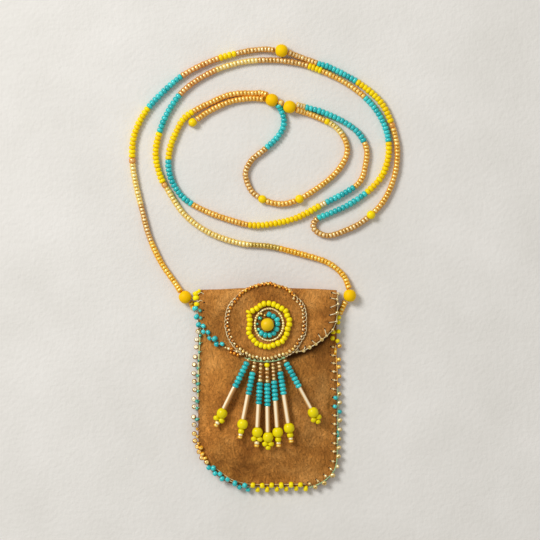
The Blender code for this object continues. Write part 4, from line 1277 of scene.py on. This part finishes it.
def build_left_edging():
    """Clear beads that lie with their holes up, and small beads that hold their stitches."""
    beads = Beads("pouch_left_edging")
    for places, finish in ((POUCH_LEFT_CLEAR, "clear_ring"), (POUCH_LEFT_AMBER, "amber_ring")):
        for x, y in places:
            tilt = Vector((CHANCE.uniform(-0.4, 0.4), CHANCE.uniform(-0.4, 0.4), 1))
            beads.add(on_pouch(x, y, 1.2 * MM), tilt, finish, 1.2 * MM, 1.5 * MM, *RING)
    teal = sew(beads, on_pouch, POUCH_LEFT_TEAL, "teal", 0.72, 1.4, loose=0.5, around=10, down=6)
    gold = sew(beads, on_pouch, POUCH_LEFT_GOLD, "amber", 0.85, 1.5, loose=0.4, around=12, down=6)
    settle(beads.done(), "pouch", "pale_gold_glass", "edging_left_clear")
    stitches = {"green_thread": [], "amber_thread": []}
    for inner in teal + gold:
        inward = Vector((1, 0.5, 0)) if inner.y > -23 * MM else Vector((0.85, 0.5, 0))
        hole = inner + inward * 1.1 * MM
        hole.z = front_surface(hole.x, hole.y)
        stitches["green_thread" if inner.y > -17 * MM else "amber_thread"].append(over_edge(inner, hole))
    for finish, lines in stitches.items():
        thread(f"pouch_left_{finish}", "pouch", lines, FINE_THREAD, finish)
    seam_thread("pouch_left_cream_thread", LEFT_LIME_LINE, 0.3, 0.4, "lime_thread")


def build_lower_edging():
    """Turquoise beads round the left corner and yellow ones along the bottom."""
    (corner,) = sew_piece(
        "pouch_corner_edging", "pouch", "turquoise_glass", "edging_corner_turquoise",
        (CORNER_TURQUOISE, "turquoise", 1.28, 2.1, (0, 0, 0.25), 0.2),
    )
    (bottom,) = sew_piece(
        "pouch_bottom_edging", "pouch", "yellow_glass", "edging_bottom_yellow",
        (BOTTOM_YELLOW, "lemon", 1.4, 2.1, (0, 0, 0.1), 0.15),
    )
    thread("pouch_lower_thread", "pouch", [corner + bottom], FINE_THREAD, "cream_thread")
    seam_thread("pouch_lower_seam_thread", LOWER_SEAM_LINE, 0.2, 0.2, "rim_thread")


def build_right_edging():
    """Clear and amber beads down the right side, with their stitches and needle holes."""
    _, inner, _ = sew_piece(
        "pouch_right_edging", "pouch", "pale_gold_glass", "edging_right_clear",
        (RIGHT_CLEAR, "clear_gold", 1.05, 1.7, (0.5, 0, 0.4), 0.25),
        (RIGHT_CLEAR_INNER, "clear_gold", 0.64, 1.3, (1, 0, 0), 0.25, 12, 6),
        (RIGHT_TURQUOISE, "turquoise", 1.0, 1.8, (1, 0, 0), 0.15, 12, 6),
        bar=((33.1, -21.4), (0, 1, 0), "teal", 0.6, 3.4),
    )
    _, _, glints = sew_piece(
        "pouch_right_amber_edging", "pouch", "amber_glass", "edging_right_amber",
        (RIGHT_YELLOW, "lemon", 1.2, 1.9, (0, 0, 0.3), 0.2),
        (RIGHT_AMBER, "amber", 1.0, 1.7, (0.5, 0, 0.3), 0.25),
        (RIGHT_AMBER_INNER, "clear_gold", 0.56, 1.2, (1, 0, 0), 0.2, 12, 6),
        bar=((31.9, 17.2), (0.1, 1, 0), "amber", 0.62, 3.2),
    )
    holes, stitches = [], []
    for point in inner + glints:
        inward = Vector((-1, 0.15, 0)) if point.y > -36 * MM else Vector((-0.75, 0.6, 0))
        hole = point + inward * 1.15 * MM
        hole.z = front_surface(hole.x, hole.y)
        holes.append((hole.x / MM, hole.y / MM))
        stitches.append(over_edge(point + inward * -1.4 * MM, hole))
    holes += [(x - 1.3, y + 0.2) for x, y in RIGHT_TURQUOISE[1:]]
    thread("pouch_right_stitches", "pouch", stitches, FINE_THREAD, "rim_thread")
    needle_hole_shades("pouch_right_needle_hole_shades", holes, front_surface, "pouch")
    seam_thread("pouch_right_amber_thread", RIGHT_AMBER_LINE, 0.3, 0.3, "amber_thread")
    seam_thread("pouch_right_green_thread", RIGHT_GREEN_LINE, 0.3, 0.3, "green_thread")


def build_flap_edging():
    """The flap's edge: yellow and turquoise beads on the left, pale gold ones on the right."""
    sew_piece(
        "flap_yellow_edging", "flap", "yellow_glass", "flap_edging_yellow",
        (FLAP_LEFT_YELLOW[:3], "lemon", 1.5, 2.2, (0.2, 0, 0.1), 0.12),
        (FLAP_LEFT_YELLOW[3:], "lemon", 0.9, 1.5, (1, 0, 0), 0.1),
    )
    outer, small = sew_piece(
        "flap_turquoise_edging", "flap", "turquoise_glass", "flap_edging_turquoise",
        (FLAP_LEFT_TURQUOISE, "turquoise", 1.22, 2.1, (0, 0, 0.35), 0.25),
        (FLAP_LEFT_SMALL, "teal", 0.72, 1.6, (1, 0.1, 0), 0.1),
    )
    lines = [[start, end + spot(1.4, 0.3, -0.5 * MM)] for start, end in zip(outer, small)]
    thread("flap_left_thread", "flap", [*lines, outer], FINE_THREAD, "cream_thread")
    outer, small, _ = sew_piece(
        "flap_pale_edging", "flap", "pale_gold_glass", "flap_edging_pale",
        (FLAP_RIGHT_OUTER, "clear_gold", 0.78, 1.5, (0.4, 0.4, 0.3), 0.35, 16, 8, 2),
        (FLAP_LEFT_PALE, "clear_gold", 0.6, 1.6, (0, 0, 0.3), 0.3, 16, 8, 2),
        (FLAP_LEFT_ORANGE, "orange", 0.85, 1.5, (0, 0, 0.3), 0.3, 16, 8, 2),
    )
    stitches = [small, outer]
    for x, y in FLAP_RIGHT_HOLES:
        hole = spot(x, y, flap_surface(x * MM, y * MM))
        stitches.append(over_edge(min(outer, key=lambda point: (point.xy - hole.xy).length), hole))
    for x, y in ((-31.1, 44.4), (-31.2, 40.7)):
        start = spot(x, y, flap_surface(x * MM, y * MM) + 0.2 * MM)
        bends = (spot(-1.6, -0.4, -0.3 * MM), spot(0, 0.5, 0.2 * MM), spot(1.3, -0.3, -0.2 * MM))
        stitches.append(smooth([start + bend for bend in bends], 0.4 * MM))
    thread("flap_pale_stitches", "flap", stitches, 0.22 * MM, "cream_thread")
    needle_hole_shades("flap_needle_hole_shades", (*FLAP_RIGHT_HOLES, *FLAP_LEFT_HOLES), flap_surface, "flap")


add_camera()
build_strap()
build_second_strand()
build_back_and_flap()
build_front()
build_patch()
build_patch_stitches()
build_green_thread()
build_rosette()
build_fringe()
build_flap_edging()
build_left_edging()
build_lower_edging()
build_right_edging()


def build_floor():
    """A plain floor just under the bag."""
    bm = bmesh.new()
    bmesh.ops.create_grid(bm, x_segments=1, y_segments=1, size=1.5)
    bmesh.ops.translate(bm, verts=bm.verts, vec=(0, 0, FLOOR_Z))
    solid("floor", bm, plaster_floor())


def set_light():
    """A large soft lamp to the upper left, near enough that the floor dims to the right, and an
    even pale surround."""
    add_lamp("key_lamp", LAMP_PLACE, LAMP_AIM, size=0.55, power=15.5)
    world = bpy.data.worlds.new("surround")
    world.use_nodes = True
    tree = world.node_tree
    back = tree.nodes["Background"]
    back.inputs["Color"].default_value = linear("#F4F2EE")
    back.inputs["Strength"].default_value = 0.52
    bpy.context.scene.world = world
    bpy.context.scene.view_settings.view_transform = "Standard"


build_floor()
set_light()
